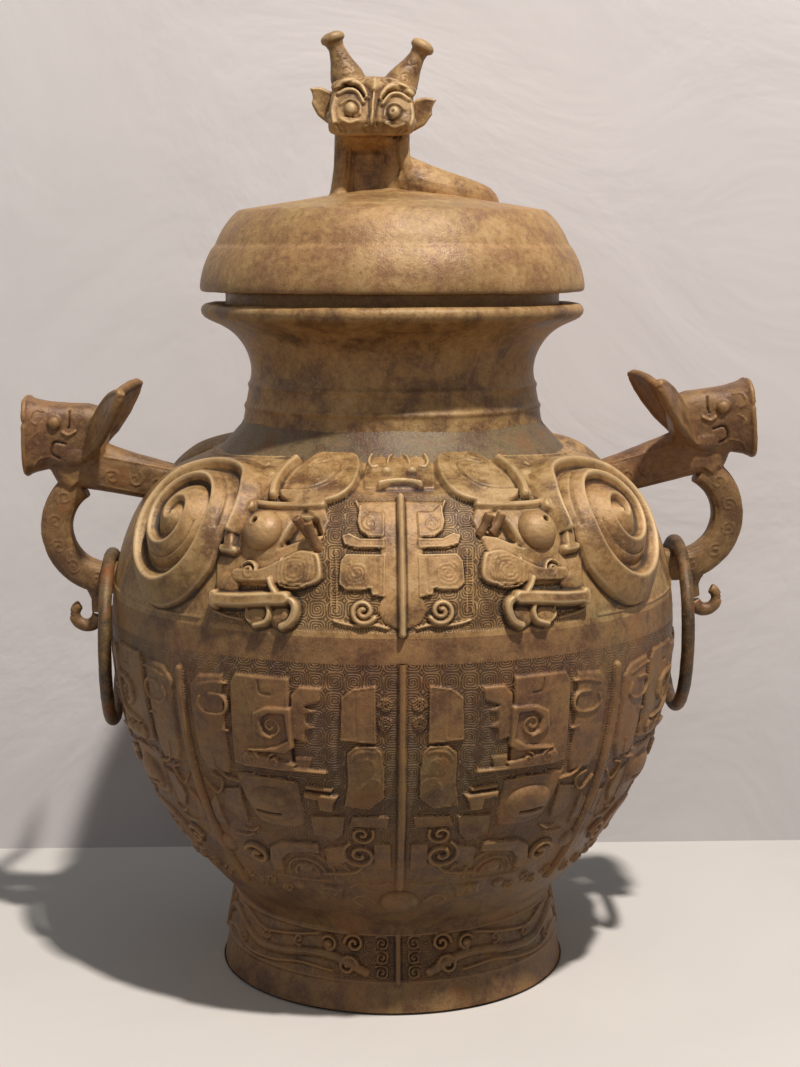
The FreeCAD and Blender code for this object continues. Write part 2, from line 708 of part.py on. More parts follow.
def coiled_horn_outline(sketch, hand):
    """A coiled band of half circles, each wider than the last by one step; hand mirrors it."""
    eye, step, width = size("horn_eye"), size("horn_step"), size("horn_band")
    side = -hand
    inner = [side * eye]
    outer = [side * (eye + width)]
    for half_turn in range(3):
        side = -side
        reach = eye + half_turn * step
        middle = inner[-1] + side * reach
        inner.append(middle + side * reach)
        outer.append(middle + side * (reach + width))
    out = [(outer[0], sized(0))] + [(x, sized(0), None, -hand) for x in outer[1:]]
    back = [(inner[-1], sized(0))] + [(x, sized(0), None, hand) for x in reversed(inner[:-1])]
    draw(sketch, out + back)


def coiled_horns(skin, raised):
    """High coiled horns either side of each mask, cast on to the shoulder."""
    made = []
    for face, turn in (("front", 0.0), ("rear", 180.0)):
        for name, side in (("left", -1), ("right", 1)):
            label = f"coil_horn_{face}_{name}"
            sketch = doc.addObject("Sketcher::SketchObject", f"{label}_outline")
            azimuth = turn + side * size("horn_azimuth").number
            lean = size("horn_lean").number
            rooted = -2 * size("horn_proud").number
            sketch.Placement = surface_frame(azimuth, size("horn_height").number, lean, rooted)
            coiled_horn_outline(sketch, side)
            block = doc.addObject("Part::Extrusion", f"{label}_block")
            block.Base = sketch
            block.DirMode = "Normal"
            bind(block, LengthFwd=4 * size("horn_proud"))
            block.Solid = True
            doc.recompute()
            band_piece = doc.addObject("Part::Common", f"{label}_band")
            band_piece.Base = block
            band_piece.Tool = raised
            doc.recompute()
            made.append(cut(label, band_piece, skin))
    return made


def eyes(skin):
    """Eyeballs with a drilled pupil, and the casting pegs beside them."""
    made = []
    for face, turn in (("front", 0.0), ("rear", 180.0)):
        for name, side in (("left", -1), ("right", 1)):
            label = f"eye_boss_{face}_{name}"
            azimuth = turn + side * size("eye_azimuth").number
            ball = doc.addObject("Part::Sphere", f"{label}_ball")
            bind(ball, Radius=size("eye_radius"))
            sink = -size("eye_sink").number
            frame = surface_frame(azimuth, size("eye_height").number, 35.0, sink)
            ball.Placement = frame
            pupil = doc.addObject("Part::Cylinder", f"{label}_pupil")
            bind(pupil, Radius=size("pupil_radius"), Height=2 * size("pupil_depth"))
            depth = size("eye_radius").number - size("pupil_depth").number
            pupil.Placement = frame.multiply(Placement(Vector(0, 0, depth), Rotation()))
            made.append(cut(label, ball, pupil, skin))
    return made


def pegs(skin):
    """Pairs of short casting pegs inside the eyes of each mask."""
    made = []
    for face, turn in (("front", 0.0), ("rear", 180.0)):
        for name, side in (("left", -1), ("right", 1)):
            label = f"mask_peg_{face}_{name}"
            azimuth = turn + side * size("peg_azimuth").number
            frame = surface_frame(azimuth, size("peg_height").number, 20.0)
            stubs = []
            for i, across in enumerate((-0.5, 0.5)):
                stub = doc.addObject("Part::Cone", f"{label}_stub_{i + 1}")
                bind(
                    stub,
                    Radius1=size("peg_radius") + 0.6,
                    Radius2=size("peg_radius"),
                    Height=size("peg_length") + size("sunk"),
                )
                shift = Vector(across * size("peg_spread").number, 0, -size("sunk").number)
                stub.Placement = frame.multiply(Placement(shift, Rotation(Vector(0, 1, 0), 14 * across)))
                stubs.append(stub)
            web = doc.addObject("Part::Box", f"{label}_web")
            bind(
                web,
                Length=size("peg_spread"),
                Width=size("peg_radius"),
                Height=size("peg_length") / 2 + size("sunk"),
            )
            corner = Vector(-size("peg_spread").number / 2, -size("peg_radius").number / 2, -size("sunk").number)
            web.Placement = frame.multiply(Placement(corner, Rotation()))
            pair = doc.addObject("Part::MultiFuse", f"{label}_pair")
            pair.Shapes = stubs + [web]
            doc.recompute()
            made.append(cut(label, pair, skin))
    return made


# Handles


def handle_frame(side):
    """The left handle stands as drawn, the right one a little higher and steeper."""
    if side < 0:
        return Placement()
    foot = Vector(size("arm_root").number, 0, size("arm_root_height").number)
    tilt = Rotation(Vector(0, 1, 0), -size("right_tilt").number)
    return Placement(Vector(0, 0, size("right_rise").number), tilt, foot)


def handle_head(name, side):
    """A beast's head with a flared, dished muzzle."""
    body = new_body(f"handle_head_{name}")
    middle_height = (size("head_back_height") + size("head_front_height")) / 2
    places = (
        ("back", size("head_back_height")),
        ("cheek", middle_height),
        ("front", size("head_front_height")),
    )
    sections = []
    for place, level in places:
        sketch = sketch_on(body, "YZ_Plane", f"head_{name}_{place}", side * size(f"head_{place}"))
        width, depth = size(f"head_{place}_width"), size(f"head_{place}_depth")
        rounded_section(sketch, 0, level, width, depth, size("head_corner"))
        sections.append(sketch)
    loft(body, f"head_{name}_loft", sections)
    dish = sketch_on(body, "YZ_Plane", f"head_{name}_dish", side * size("head_front"))
    rim = 2 * size("muzzle_rim")
    width, depth = size("head_front_width") - rim, size("head_front_depth") - rim
    rounded_section(dish, 0, size("head_front_height"), width, depth, size("head_corner") - 1)
    pocket = body.newObject("PartDesign::Pocket", f"head_{name}_pocket")
    pocket.Profile = dish
    bind(pocket, Length=size("muzzle_dish"))
    pocket.Reversed = side < 0
    doc.recompute()
    body.Placement = handle_frame(side)
    doc.recompute()
    return body


def handle_loop(name, side, head, skin):
    """Arm, loop and curled spur, trimmed where they meet the head and the shoulder."""
    body = new_body(f"handle_loop_{name}_whole")
    root_end = sketch_on(body, "YZ_Plane", f"arm_{name}_root", side * size("arm_root"))
    corner = size("loop_corner")
    rounded_section(
        root_end, 0, size("arm_root_height"), size("arm_root_width"), size("arm_root_depth"), corner
    )
    head_end = sketch_on(body, "YZ_Plane", f"arm_{name}_head", side * size("arm_end"))
    rounded_section(
        head_end, 0, size("arm_head_height"), size("arm_head_width"), size("arm_head_depth"), corner
    )
    loft(body, f"arm_{name}_loft", [root_end, head_end])

    radius, centre_x, centre_z = size("loop_radius"), size("loop_axis"), size("loop_height")
    inner_end = size("arm_root") + 3 * size("loop_corner")
    section = sketch_on(body, "YZ_Plane", f"loop_{name}_section", side * inner_end)
    rounded_section(section, 0, centre_z - radius, size("loop_width"), size("loop_depth"), corner)
    opening = math.radians(size("loop_opening").number)
    across = Size(math.sin(opening), "sin(Sizes.loop_opening * 1 deg)")
    upright = Size(math.cos(opening), "cos(Sizes.loop_opening * 1 deg)")
    end_x, end_z = centre_x + radius * across, centre_z - radius * upright
    rise = size("loop_rise")
    path = sketch_on(body, "XZ_Plane", f"loop_{name}_path")
    draw(path, [
        (side * inner_end, centre_z - radius),
        (side * centre_x, centre_z - radius),
        (side * (centre_x + radius), centre_z, radius, side),
        (side * end_x, end_z, radius, side),
        (side * (end_x + rise * upright), end_z + rise * across),
    ], closed=False)
    pipe(body, f"loop_{name}_pipe", section, path)
    body.Placement = handle_frame(side)
    spur = handle_spur(name, side)
    joined = doc.addObject("Part::MultiFuse", f"handle_loop_{name}_joined")
    joined.Shapes = [body, spur]
    doc.recompute()
    return cut(f"handle_loop_{name}", joined, head, skin)


def handle_spur(name, side):
    """The curled spur under the loop: a round bar on a straight run and a curl."""
    curl, radius = size("spur_curl").number, size("spur_radius").number
    middle = Vector(side * size("spur_reach").number, 0, size("spur_height").number)
    top = Vector(side * size("spur_root").number, 0, size("loop_height").number - size("loop_radius").number)

    def on_curl(angle):
        return middle + Vector(-side * curl * math.cos(angle), 0, curl * math.sin(angle))

    # The straight run meets the curl as a tangent on the jar's side
    away = top - middle
    start = math.atan2(away.z, -side * away.x) - math.acos(curl / away.Length)
    end = math.radians(-size("spur_curl_end").number)
    path = Part.Wire([
        Part.LineSegment(top, on_curl(start)).toShape(),
        Part.Arc(on_curl(start), on_curl((start + end) / 2), on_curl(end)).toShape(),
    ])
    disc = Part.Wire(Part.makeCircle(radius, top, on_curl(start) - top))
    bar = path.makePipeShell([disc], True, False)
    spur = doc.addObject("Part::Feature", f"spur_{name}")
    spur.Shape = bar
    spur.Placement = handle_frame(side)
    return spur


def leaf_outline(sketch, reach, tall):
    """A pointed ear: narrow foot, full outer edge and a tip at the top outer corner."""
    draw(sketch, [
        (sized(0), sized(0)),
        (reach * 0.38, tall * 0.18, reach * 1.1, 1),
        (reach, tall, reach * 1.5, 1),
        (reach * 0.42, tall * 0.9, reach * 1.4, 1),
        (sized(0), tall * 0.82, reach * 1.6, -1),
    ])


def plate(label, outline, reach, tall, thick, frame):
    """A flat leaf of metal, drawn upright and put in place by its frame."""
    body = new_body(f"{label}_plate")
    sketch = sketch_on(body, "XZ_Plane", f"{label}_outline")
    outline(sketch, reach, tall)
    pad = body.newObject("PartDesign::Pad", f"{label}_pad")
    pad.Profile = sketch
    bind(pad, Length=thick)
    pad.Midplane = True
    doc.recompute()
    sketch.Visibility = False
    body.Placement = frame
    doc.recompute()
    return body


def handle_ears(name, side, head):
    """Two swept ears on a handle's head."""
    made = []
    for place, way in (("front", -1), ("back", 1)):
        label = f"handle_ear_{name}_{place}"
        foot = Vector(side * size("ear_root").number, way * size("ear_side").number, size("ear_root_height").number)
        # The leaf is drawn along +X: it is turned out to its own side and back to the jar
        turn = Rotation(Vector(0, 0, 1), way * (90 + side * size("ear_sweep").number))
        lean = Rotation(Vector(0, 1, 0), -side * size("ear_tilt").number)
        frame = handle_frame(side).multiply(Placement(foot, lean.multiply(turn)))
        leaf = plate(label, leaf_outline, size("ear_reach"), size("ear_tall"), size("ear_thick"), frame)
        made.append(cut(label, leaf, head))
    return made


def ring_top(side):
    """Where a ring's bar lies over the loop's lower bar."""
    x = side * size("ring_offset").number
    clear = size("loop_depth").number / 2 + size("ring_play").number + size("ring_wire").number
    z = size("loop_height").number - size("loop_radius").number + clear
    return handle_frame(side).multVec(Vector(x, 0, z))


def loose_ring(name, side):
    """A plain ring that hangs free on the loop."""
    ring = doc.addObject("Part::Torus", f"ring_{name}")
    ring.Label = f"ring_{name}"
    bind(ring, Radius1=size("ring_radius"), Radius2=size("ring_wire"))
    middle = ring_top(side) - Vector(0, 0, size("ring_radius").number)
    upright = Rotation(Vector(0, 1, 0), 90)
    turn = Rotation(Vector(0, 0, 1), side * -size("ring_turn").number)
    ring.Placement = Placement(middle, turn.multiply(upright))
    doc.recompute()
    return ring


# Lid and dragon

lid_rim = size("lip_top") + size("lid_gap")
apex = size("lid_apex")


def lid_outside():
    """Corners of the lid's outside from its rim to the top."""
    bend = size("lid_bend")
    groove_x, groove_z, groove = size("lid_groove_radius"), size("lid_groove_height"), size("lid_groove")
    return [
        (size("lid_radius"), lid_rim),
        (size("lid_radius"), lid_rim + size("lid_skirt")),
        (groove_x + groove / 2, groove_z - groove / 2, bend, 1),
        (groove_x - groove / 2, groove_z + groove / 4),
        (size("lid_shoulder_radius"), size("lid_shoulder_height"), bend, 1),
        (size("lid_shoulder_radius") - groove, size("lid_shoulder_height") + groove / 2),
        (sized(0), apex),
    ]


def collar_corners():
    """Corners of the collar, from the lid's rim inwards and back up to the lid's inside."""
    outer, thick, play = size("collar_radius"), size("collar_wall"), size("seat_play")
    slope = (seat_x - seat_foot_x) / (seat_z - seat_foot_z)
    # The taper stands off the seat by the play, square to the cone
    shift = play * root(1 + slope * slope)

    def taper(z):
        return seat_x - (seat_z - z) * slope - shift

    meet_z = seat_z - (seat_x - shift - outer) / slope
    foot_z = seat_z - size("collar_reach")
    return [
        (taper(foot_z) - thick, foot_z),
        (taper(foot_z), foot_z),
        (outer, meet_z),
        (outer, lid_rim),
    ], outer - thick, meet_z


def lid():
    """Domed lid with a collar that drops into the conical seat of the mouth."""
    body = new_body("lid_shell")
    outline = sketch_on(body, "XZ_Plane", "lid_outline")
    collar, inner_x, meet_z = collar_corners()
    top_z = size("lid_shoulder_height") - wall
    side_x = size("lid_shoulder_radius") - wall
    inside = [
        (sized(0), apex - wall),
        (side_x, top_z),
        (size("lid_radius") - wall, lid_rim + wall, size("lid_bend") * 1.5, -1),
        (inner_x, lid_rim + wall),
        (inner_x, meet_z),
    ]
    draw(outline, lid_outside() + inside + collar)
    revolve(body, outline)
    return body


def lid_solid():
    """The lid as if cast solid, to trim the dragon that is cast on to it."""
    body = new_body("lid_trim")
    outline = sketch_on(body, "XZ_Plane", "lid_trim_outline")
    draw(outline, lid_outside() + [(sized(0), lid_rim)])
    revolve(body, outline)
    return body


def lid_surface(radius):
    """Height of the lid's low cone at a radius, as a number."""
    edge = size("lid_shoulder_radius").number
    rise = apex.number - size("lid_shoulder_height").number
    return apex.number - rise * radius / edge


def dragon_coil(trim, head):
    """The dragon's body: it leaves the neck, swings round the back of the lid and thins to a tail."""
    first, turn = size("coil_first").number, size("coil_turn").number
    near, far = size("coil_start").number, size("coil_end").number
    thick, thin, lift = size("coil_thick").number, size("coil_thin").number, size("coil_lift").number
    steps, quickness = 16, 6

    def spine(share):
        azimuth = math.radians(first + share * turn)
        left = 1 - share
        radius = near + (far - near) * (1 - left ** quickness)
        bar = thin + (thick - thin) * left ** 0.8
        z = lid_surface(radius) - 0.2 * bar + lift * left ** (2 * quickness)
        return Vector(radius * math.sin(azimuth), -radius * math.cos(azimuth), z), bar

    rings = []
    for i in range(steps):
        share = i / (steps - 1)
        spot, bar = spine(share)
        along = spine(min(share + 0.01, 1.0))[0] - spine(max(share - 0.01, 0.0))[0]
        rings.append(Part.Wire(Part.makeCircle(bar, spot, along)))
    coil = doc.addObject("Part::Feature", "dragon_coil_whole")
    coil.Shape = Part.makeLoft(rings, True, False)
    return cut("dragon_coil", coil, head, trim)


def dragon_head(trim):
    """Upright neck and rolled head of the dragon, facing the mask side."""
    neck = new_body("dragon_neck_whole")
    middle = size("dragon_side")
    base = sketch_on(neck, "XY_Plane", "dragon_neck_base", size("neck_base_level"))
    rounded_section(base, middle, 0, size("neck_base_width"), size("neck_base_depth"), size("neck_corner"))
    top = sketch_on(neck, "XY_Plane", "dragon_neck_top", size("neck_top_level"))
    rounded_section(top, middle, 0, size("neck_top_width"), size("neck_top_depth"), size("neck_corner"))
    loft(neck, "dragon_neck", [base, top])
    body = new_body("dragon_face_whole")
    crown, chin = size("face_crown_level"), size("face_chin_level")
    places = (
        ("nape", -size("face_back"), size("face_nape_width"), crown - size("face_nape") / 2, size("face_nape")),
        ("brow", size("face_brow"), size("face_width"), (crown + chin) / 2, crown - chin),
        ("lip", size("face_front"), size("face_width"), chin + size("face_lip") / 2, size("face_lip")),
    )
    sections = []
    for name, forward, width, level, tall in places:
        sketch = sketch_on(body, "XZ_Plane", f"dragon_{name}", forward)
        rounded_section(sketch, middle, level, width, tall, size("face_corner"))
        sections.append(sketch)
    loft(body, "dragon_face", sections)
    body.Placement = head_roll()
    joined = doc.addObject("Part::MultiFuse", "dragon_head_joined")
    joined.Shapes = [neck, body]
    doc.recompute()
    return cut("dragon_head", joined, trim)


def head_roll():
    """The head stands a little out of true, rolled clockwise as seen from the front."""
    middle = Vector(size("dragon_side").number, 0, size("face_middle_level").number)
    return Placement(Vector(), Rotation(Vector(0, 1, 0), size("face_roll").number), middle)


def bottle_horns(head):
    """Bottle-shaped horns with mushroom caps."""
    made = []
    for name, side in (("left", -1), ("right", 1)):
        label = f"dragon_horn_{name}"
        body = new_body(f"{label}_whole")
        sketch = sketch_on(body, "XZ_Plane", f"{label}_outline")
        base, neck, cap = size("bottle_base"), size("bottle_neck"), size("bottle_cap")
        tall, cap_tall = size("bottle_tall"), size("bottle_cap_tall")
        neck_z = tall - cap_tall
        draw(sketch, [
            (sized(0), sized(0)),
            (base - 1, sized(0)),
            (base, base / 2, base, 1),
            (neck + 0.4, neck_z - neck, neck_z * 1.4, 1),
            (neck, neck_z),
            (cap, neck_z + cap_tall * 0.3),
            (cap, neck_z + cap_tall * 0.6),
            (cap * 0.6, tall),
            (sized(0), tall),
        ])
        revolve(body, sketch)
        foot = Vector(
            size("dragon_side").number + side * size("bottle_side").number, 0, size("bottle_level").number
        )
        lean = Rotation(Vector(0, 1, 0), side * size("bottle_lean").number)
        body.Placement = head_roll().multiply(Placement(foot, lean))
        doc.recompute()
        made.append(cut(label, body, head))
    return made


def dragon_ears(head):
    made = []
    for name, side in (("left", -1), ("right", 1)):
        label = f"dragon_ear_{name}"
        foot = Vector(
            size("dragon_side").number + side * size("leaf_side").number, 0, size("leaf_level").number
        )
        turn = Rotation(Vector(0, 0, 1), 0 if side > 0 else 180)
        frame = head_roll().multiply(Placement(foot, turn))
        leaf = plate(label, leaf_outline, size("leaf_reach"), size("leaf_tall"), size("leaf_thick"), frame)
        made.append(cut(label, leaf, head))
    return made


# Tipping handle low on the back


def tipping_handle(skin):
    """A small loop and beast's head, by which the jar is tipped to pour."""
    centre_y, centre_z = size("tip_offset").number, size("tip_height").number
    radius, bar = size("tip_radius").number, size("tip_bar").number

    def on_loop(degrees):
        angle = math.radians(degrees)
        return Vector(0, centre_y + radius * 1.5 * math.cos(angle), centre_z + radius * math.sin(angle))

    curve = Part.BSplineCurve()
    curve.interpolate([on_loop(degrees) for degrees in range(-100, 101, 25)])
    path = curve.toShape()
    along = path.tangentAt(path.FirstParameter)
    disc = Part.Wire(Part.makeCircle(bar, on_loop(-100), along))
    loop = doc.addObject("Part::Feature", "tipping_loop_whole")
    loop.Shape = Part.Wire(path).makePipeShell([disc], True, True)

    body = new_body("tipping_head_whole")
    sections = []
    level, reach = size("tip_head_height"), size("tip_head_reach")
    offset = sized(surface_radius(size("tip_head_height").number))
    for name, out, share in (("back", -size("sunk") * 4, 0.9), ("front", reach, 1.0)):
        sketch = sketch_on(body, "XZ_Plane", f"tipping_{name}", -(offset + out))
        width, depth = size("tip_head_width") * share, size("tip_head_depth") * share
        rounded_section(sketch, 0, level, width, depth, size("face_corner"))
        sections.append(sketch)
    loft(body, "tipping_face", sections)
    head = cut("tipping_head", body, skin)
    return [head, cut("tipping_loop", loop, head, skin)]


# Assembly

skin = solid_of_outside("skin", sized(0))
raised = solid_of_outside("raised_skin", size("horn_proud"))
nodes = [vessel()]
nodes += coiled_horns(skin, raised)
nodes += eyes(skin)
nodes += pegs(skin)
for name, side in (("left", -1), ("right", 1)):
    head = handle_head(name, side)
    nodes += [head, handle_loop(name, side, head, skin), loose_ring(name, side)]
    nodes += handle_ears(name, side, head)
nodes += [lid()]
trim = lid_solid()
dragon = dragon_head(trim)
nodes += [dragon, dragon_coil(trim, dragon)]
nodes += bottle_horns(dragon)
nodes += dragon_ears(dragon)
nodes += tipping_handle(skin)
doc.recompute()

for thing in doc.Objects:
    if "Invalid" in thing.State or "Error" in thing.State:
        raise RuntimeError(f"{thing.Label} did not compute")
os.makedirs("parts", exist_ok=True)
for node in nodes:
    shape = node.Shape
    if shape.isNull() or not shape.isValid():
        raise RuntimeError(f"{node.Label} has no valid shape")
    shape.exportStep(os.path.join("parts", f"{node.Label}.step"))
    box = shape.BoundBox
    print(
        f"{node.Label}: {len(shape.Solids)} solid, {shape.Volume / 1000:.1f} cm3, "
        f"x {box.XMin:.1f} to {box.XMax:.1f}, y {box.YMin:.1f} to {box.YMax:.1f}, "
        f"z {box.ZMin:.1f} to {box.ZMax:.1f}"
    )
for name, side in (("left", -1), ("right", 1)):
    print(f"ring {name} hangs at", ring_top(side))
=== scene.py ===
"""Lidded bronze lei wine jar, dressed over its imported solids.

The frame is in metres. Motifs are drawn on the wall in degrees of azimuth (0 at the front,
positive towards +X) and millimetres of height.
"""
import math

import bmesh
import bpy
import numpy as np
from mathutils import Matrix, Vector


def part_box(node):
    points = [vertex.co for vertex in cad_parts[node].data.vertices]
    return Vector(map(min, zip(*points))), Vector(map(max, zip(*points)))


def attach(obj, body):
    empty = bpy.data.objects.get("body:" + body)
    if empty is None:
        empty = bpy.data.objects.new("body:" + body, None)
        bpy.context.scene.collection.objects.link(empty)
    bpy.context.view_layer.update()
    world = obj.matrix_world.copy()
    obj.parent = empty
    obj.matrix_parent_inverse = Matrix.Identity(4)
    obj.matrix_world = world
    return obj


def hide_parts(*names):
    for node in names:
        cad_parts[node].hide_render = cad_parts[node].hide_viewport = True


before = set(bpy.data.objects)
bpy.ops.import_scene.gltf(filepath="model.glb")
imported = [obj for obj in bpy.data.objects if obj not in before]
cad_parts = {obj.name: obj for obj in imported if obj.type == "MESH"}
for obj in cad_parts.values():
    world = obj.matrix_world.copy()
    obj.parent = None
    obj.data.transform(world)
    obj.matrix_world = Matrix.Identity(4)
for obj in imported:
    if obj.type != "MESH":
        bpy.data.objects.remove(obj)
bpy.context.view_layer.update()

MM = 0.001
RAD = math.pi / 180

# Outside of the jar as the solids have it, in millimetres
FOOT_RADIUS, FOOT_HEIGHT, WAIST_RADIUS = 83.8, 37.0, 77.0
BELLY_RADIUS, BELLY_HEIGHT = 135.6, 173.0
BELLY_START_RADIUS, BELLY_START_HEIGHT = 80.5, 42.5
SHOULDER_BEND, SHOULDER_BREAK = 115.0, 220.0
TURN_BEND, TURN_TOP = 60.0, 244.0
NECK_FOOT_RADIUS, NECK_FOOT_HEIGHT = 78.5, 256.0
NECK_LOW_RADIUS, NECK_LOW_HEIGHT = 72.0, 264.5
NECK_RADIUS, NECK_HEIGHT = 67.6, 290.0
FLARE_BEND, FLARE_TOP = 24.9, 312.6
WALL = 4.0
STRINGS, STRING_PROUD, STRING_HALF = (284.2, 274.2), 1.1, 0.95
LEDGE_LOW, LEDGE_HIGH = 176.0, 187.0
BAND_TOP = 256.0
MESH_STEP = 0.55


# Wall of the jar


def wall_radius(z):
    """Bare outside radius at each height."""
    z = np.asarray(z, float)
    inset = BELLY_RADIUS - BELLY_START_RADIUS
    drop = BELLY_HEIGHT - BELLY_START_HEIGHT
    belly_bend = (drop ** 2 + inset ** 2) / (2 * inset)

    def arc(centre, level, bend):
        return centre + np.sqrt(np.maximum(bend ** 2 - (z - level) ** 2, 0))

    bend_centre = BELLY_RADIUS - SHOULDER_BEND
    share = TURN_BEND / SHOULDER_BEND
    break_x = bend_centre + math.sqrt(SHOULDER_BEND ** 2 - (SHOULDER_BREAK - BELLY_HEIGHT) ** 2)
    turn_x = break_x - (break_x - bend_centre) * share
    turn_z = SHOULDER_BREAK - (SHOULDER_BREAK - BELLY_HEIGHT) * share
    top_x = turn_x + math.sqrt(TURN_BEND ** 2 - (TURN_TOP - turn_z) ** 2)
    stretches = [
        (FOOT_HEIGHT, FOOT_RADIUS - (FOOT_RADIUS - WAIST_RADIUS) * z / FOOT_HEIGHT),
        (BELLY_START_HEIGHT, between(z, FOOT_HEIGHT, WAIST_RADIUS, BELLY_START_HEIGHT, BELLY_START_RADIUS)),
        (BELLY_HEIGHT, arc(BELLY_RADIUS - belly_bend, BELLY_HEIGHT, belly_bend)),
        (SHOULDER_BREAK, arc(bend_centre, BELLY_HEIGHT, SHOULDER_BEND)),
        (TURN_TOP, arc(turn_x, turn_z, TURN_BEND)),
        (NECK_FOOT_HEIGHT, between(z, TURN_TOP, top_x, NECK_FOOT_HEIGHT, NECK_FOOT_RADIUS)),
        (NECK_LOW_HEIGHT, between(z, NECK_FOOT_HEIGHT, NECK_FOOT_RADIUS, NECK_LOW_HEIGHT, NECK_LOW_RADIUS)),
        (NECK_HEIGHT, between(z, NECK_LOW_HEIGHT, NECK_LOW_RADIUS, NECK_HEIGHT, NECK_RADIUS)),
    ]
    flare = NECK_RADIUS + FLARE_BEND - np.sqrt(np.maximum(FLARE_BEND ** 2 - (z - NECK_HEIGHT) ** 2, 0))
    return np.select([z <= top for top, _ in stretches], [r for _, r in stretches], flare)


def between(z, z0, r0, z1, r1):
    """Radius on the straight line between two places of the profile."""
    return r0 + (z - z0) * (r1 - r0) / (z1 - z0)


def soften(values, passes):
    """Smooths a row of numbers or of points, so that corners of a profile are cast and not sharp."""
    values = values.copy()
    for _ in range(passes):
        values[1:-1] = (values[:-2] + 2 * values[1:-1] + values[2:]) / 4
    return values


FINE_Z = np.linspace(0.0, FLARE_TOP, 6000)
FINE_R = soften(wall_radius(FINE_Z), 600)
FINE_S = np.concatenate([[0.0], np.cumsum(np.hypot(np.diff(FINE_Z), np.diff(FINE_R)))])


def radius_at(z):
    """Outside radius of the wall, softened at its corners."""
    return np.interp(z, FINE_Z, FINE_R)


def arc_at(z):
    """Distance along the wall from the foot's edge up to that height."""
    return np.interp(z, FINE_Z, FINE_S)


def height_at(arc):
    """Height at that distance along the wall."""
    return np.interp(arc, FINE_S, FINE_Z)


def wall_point(azimuth, z, proud=0.0):
    """A point on the wall or proud of it, in metres, and the outward direction there."""
    radius, slope = radius_at(z), (radius_at(z + 1) - radius_at(z - 1)) / 2
    a = azimuth * RAD
    around = Vector((math.sin(a), -math.cos(a), 0))
    out = (around - Vector((0, 0, slope))).normalized()
    spot = around * float(radius) + Vector((0, 0, z)) + out * proud
    return spot * MM, out


def ramp(x, low, high):
    """Smooth step from 0 at low to 1 at high."""
    t = np.clip((x - low) / (high - low), 0, 1)
    return t * t * (3 - 2 * t)


def ripple(u, v, seed, size, octaves=3):
    """Smooth irregular swell of about plus or minus one over two coordinates, made of waves."""
    draw = np.random.default_rng(seed)
    total = np.zeros(np.broadcast(u, v).shape)
    for octave in range(octaves):
        scale = size / 2 ** octave
        for _ in range(5):
            angle, phase = draw.uniform(0, 2 * math.pi, 2)
            k = 2 * math.pi / (scale * draw.uniform(0.8, 1.6))
            total += np.sin(k * (u * math.cos(angle) + v * math.sin(angle)) + phase) / 2 ** octave
    return total / 5


# Height maps


def smooth_line(points, step=1.2):
    """A curve through the points, as closely spaced points."""
    p = np.asarray(points, float)
    if len(p) < 3:
        return p
    ends = np.vstack([2 * p[0] - p[1], p, 2 * p[-1] - p[-2]])
    made = []
    for i in range(1, len(ends) - 2):
        a, b, c, d = ends[i - 1], ends[i], ends[i + 1], ends[i + 2]
        count = max(2, int(np.linalg.norm(c - b) / step))
        t = np.linspace(0, 1, count, endpoint=False)[:, None]
        made.append(0.5 * (2 * b + (c - a) * t + (2 * a - 5 * b + 4 * c - d) * t ** 2
                           + (3 * b - a - 3 * c + d) * t ** 3))
    return np.vstack(made + [p[-1:]])


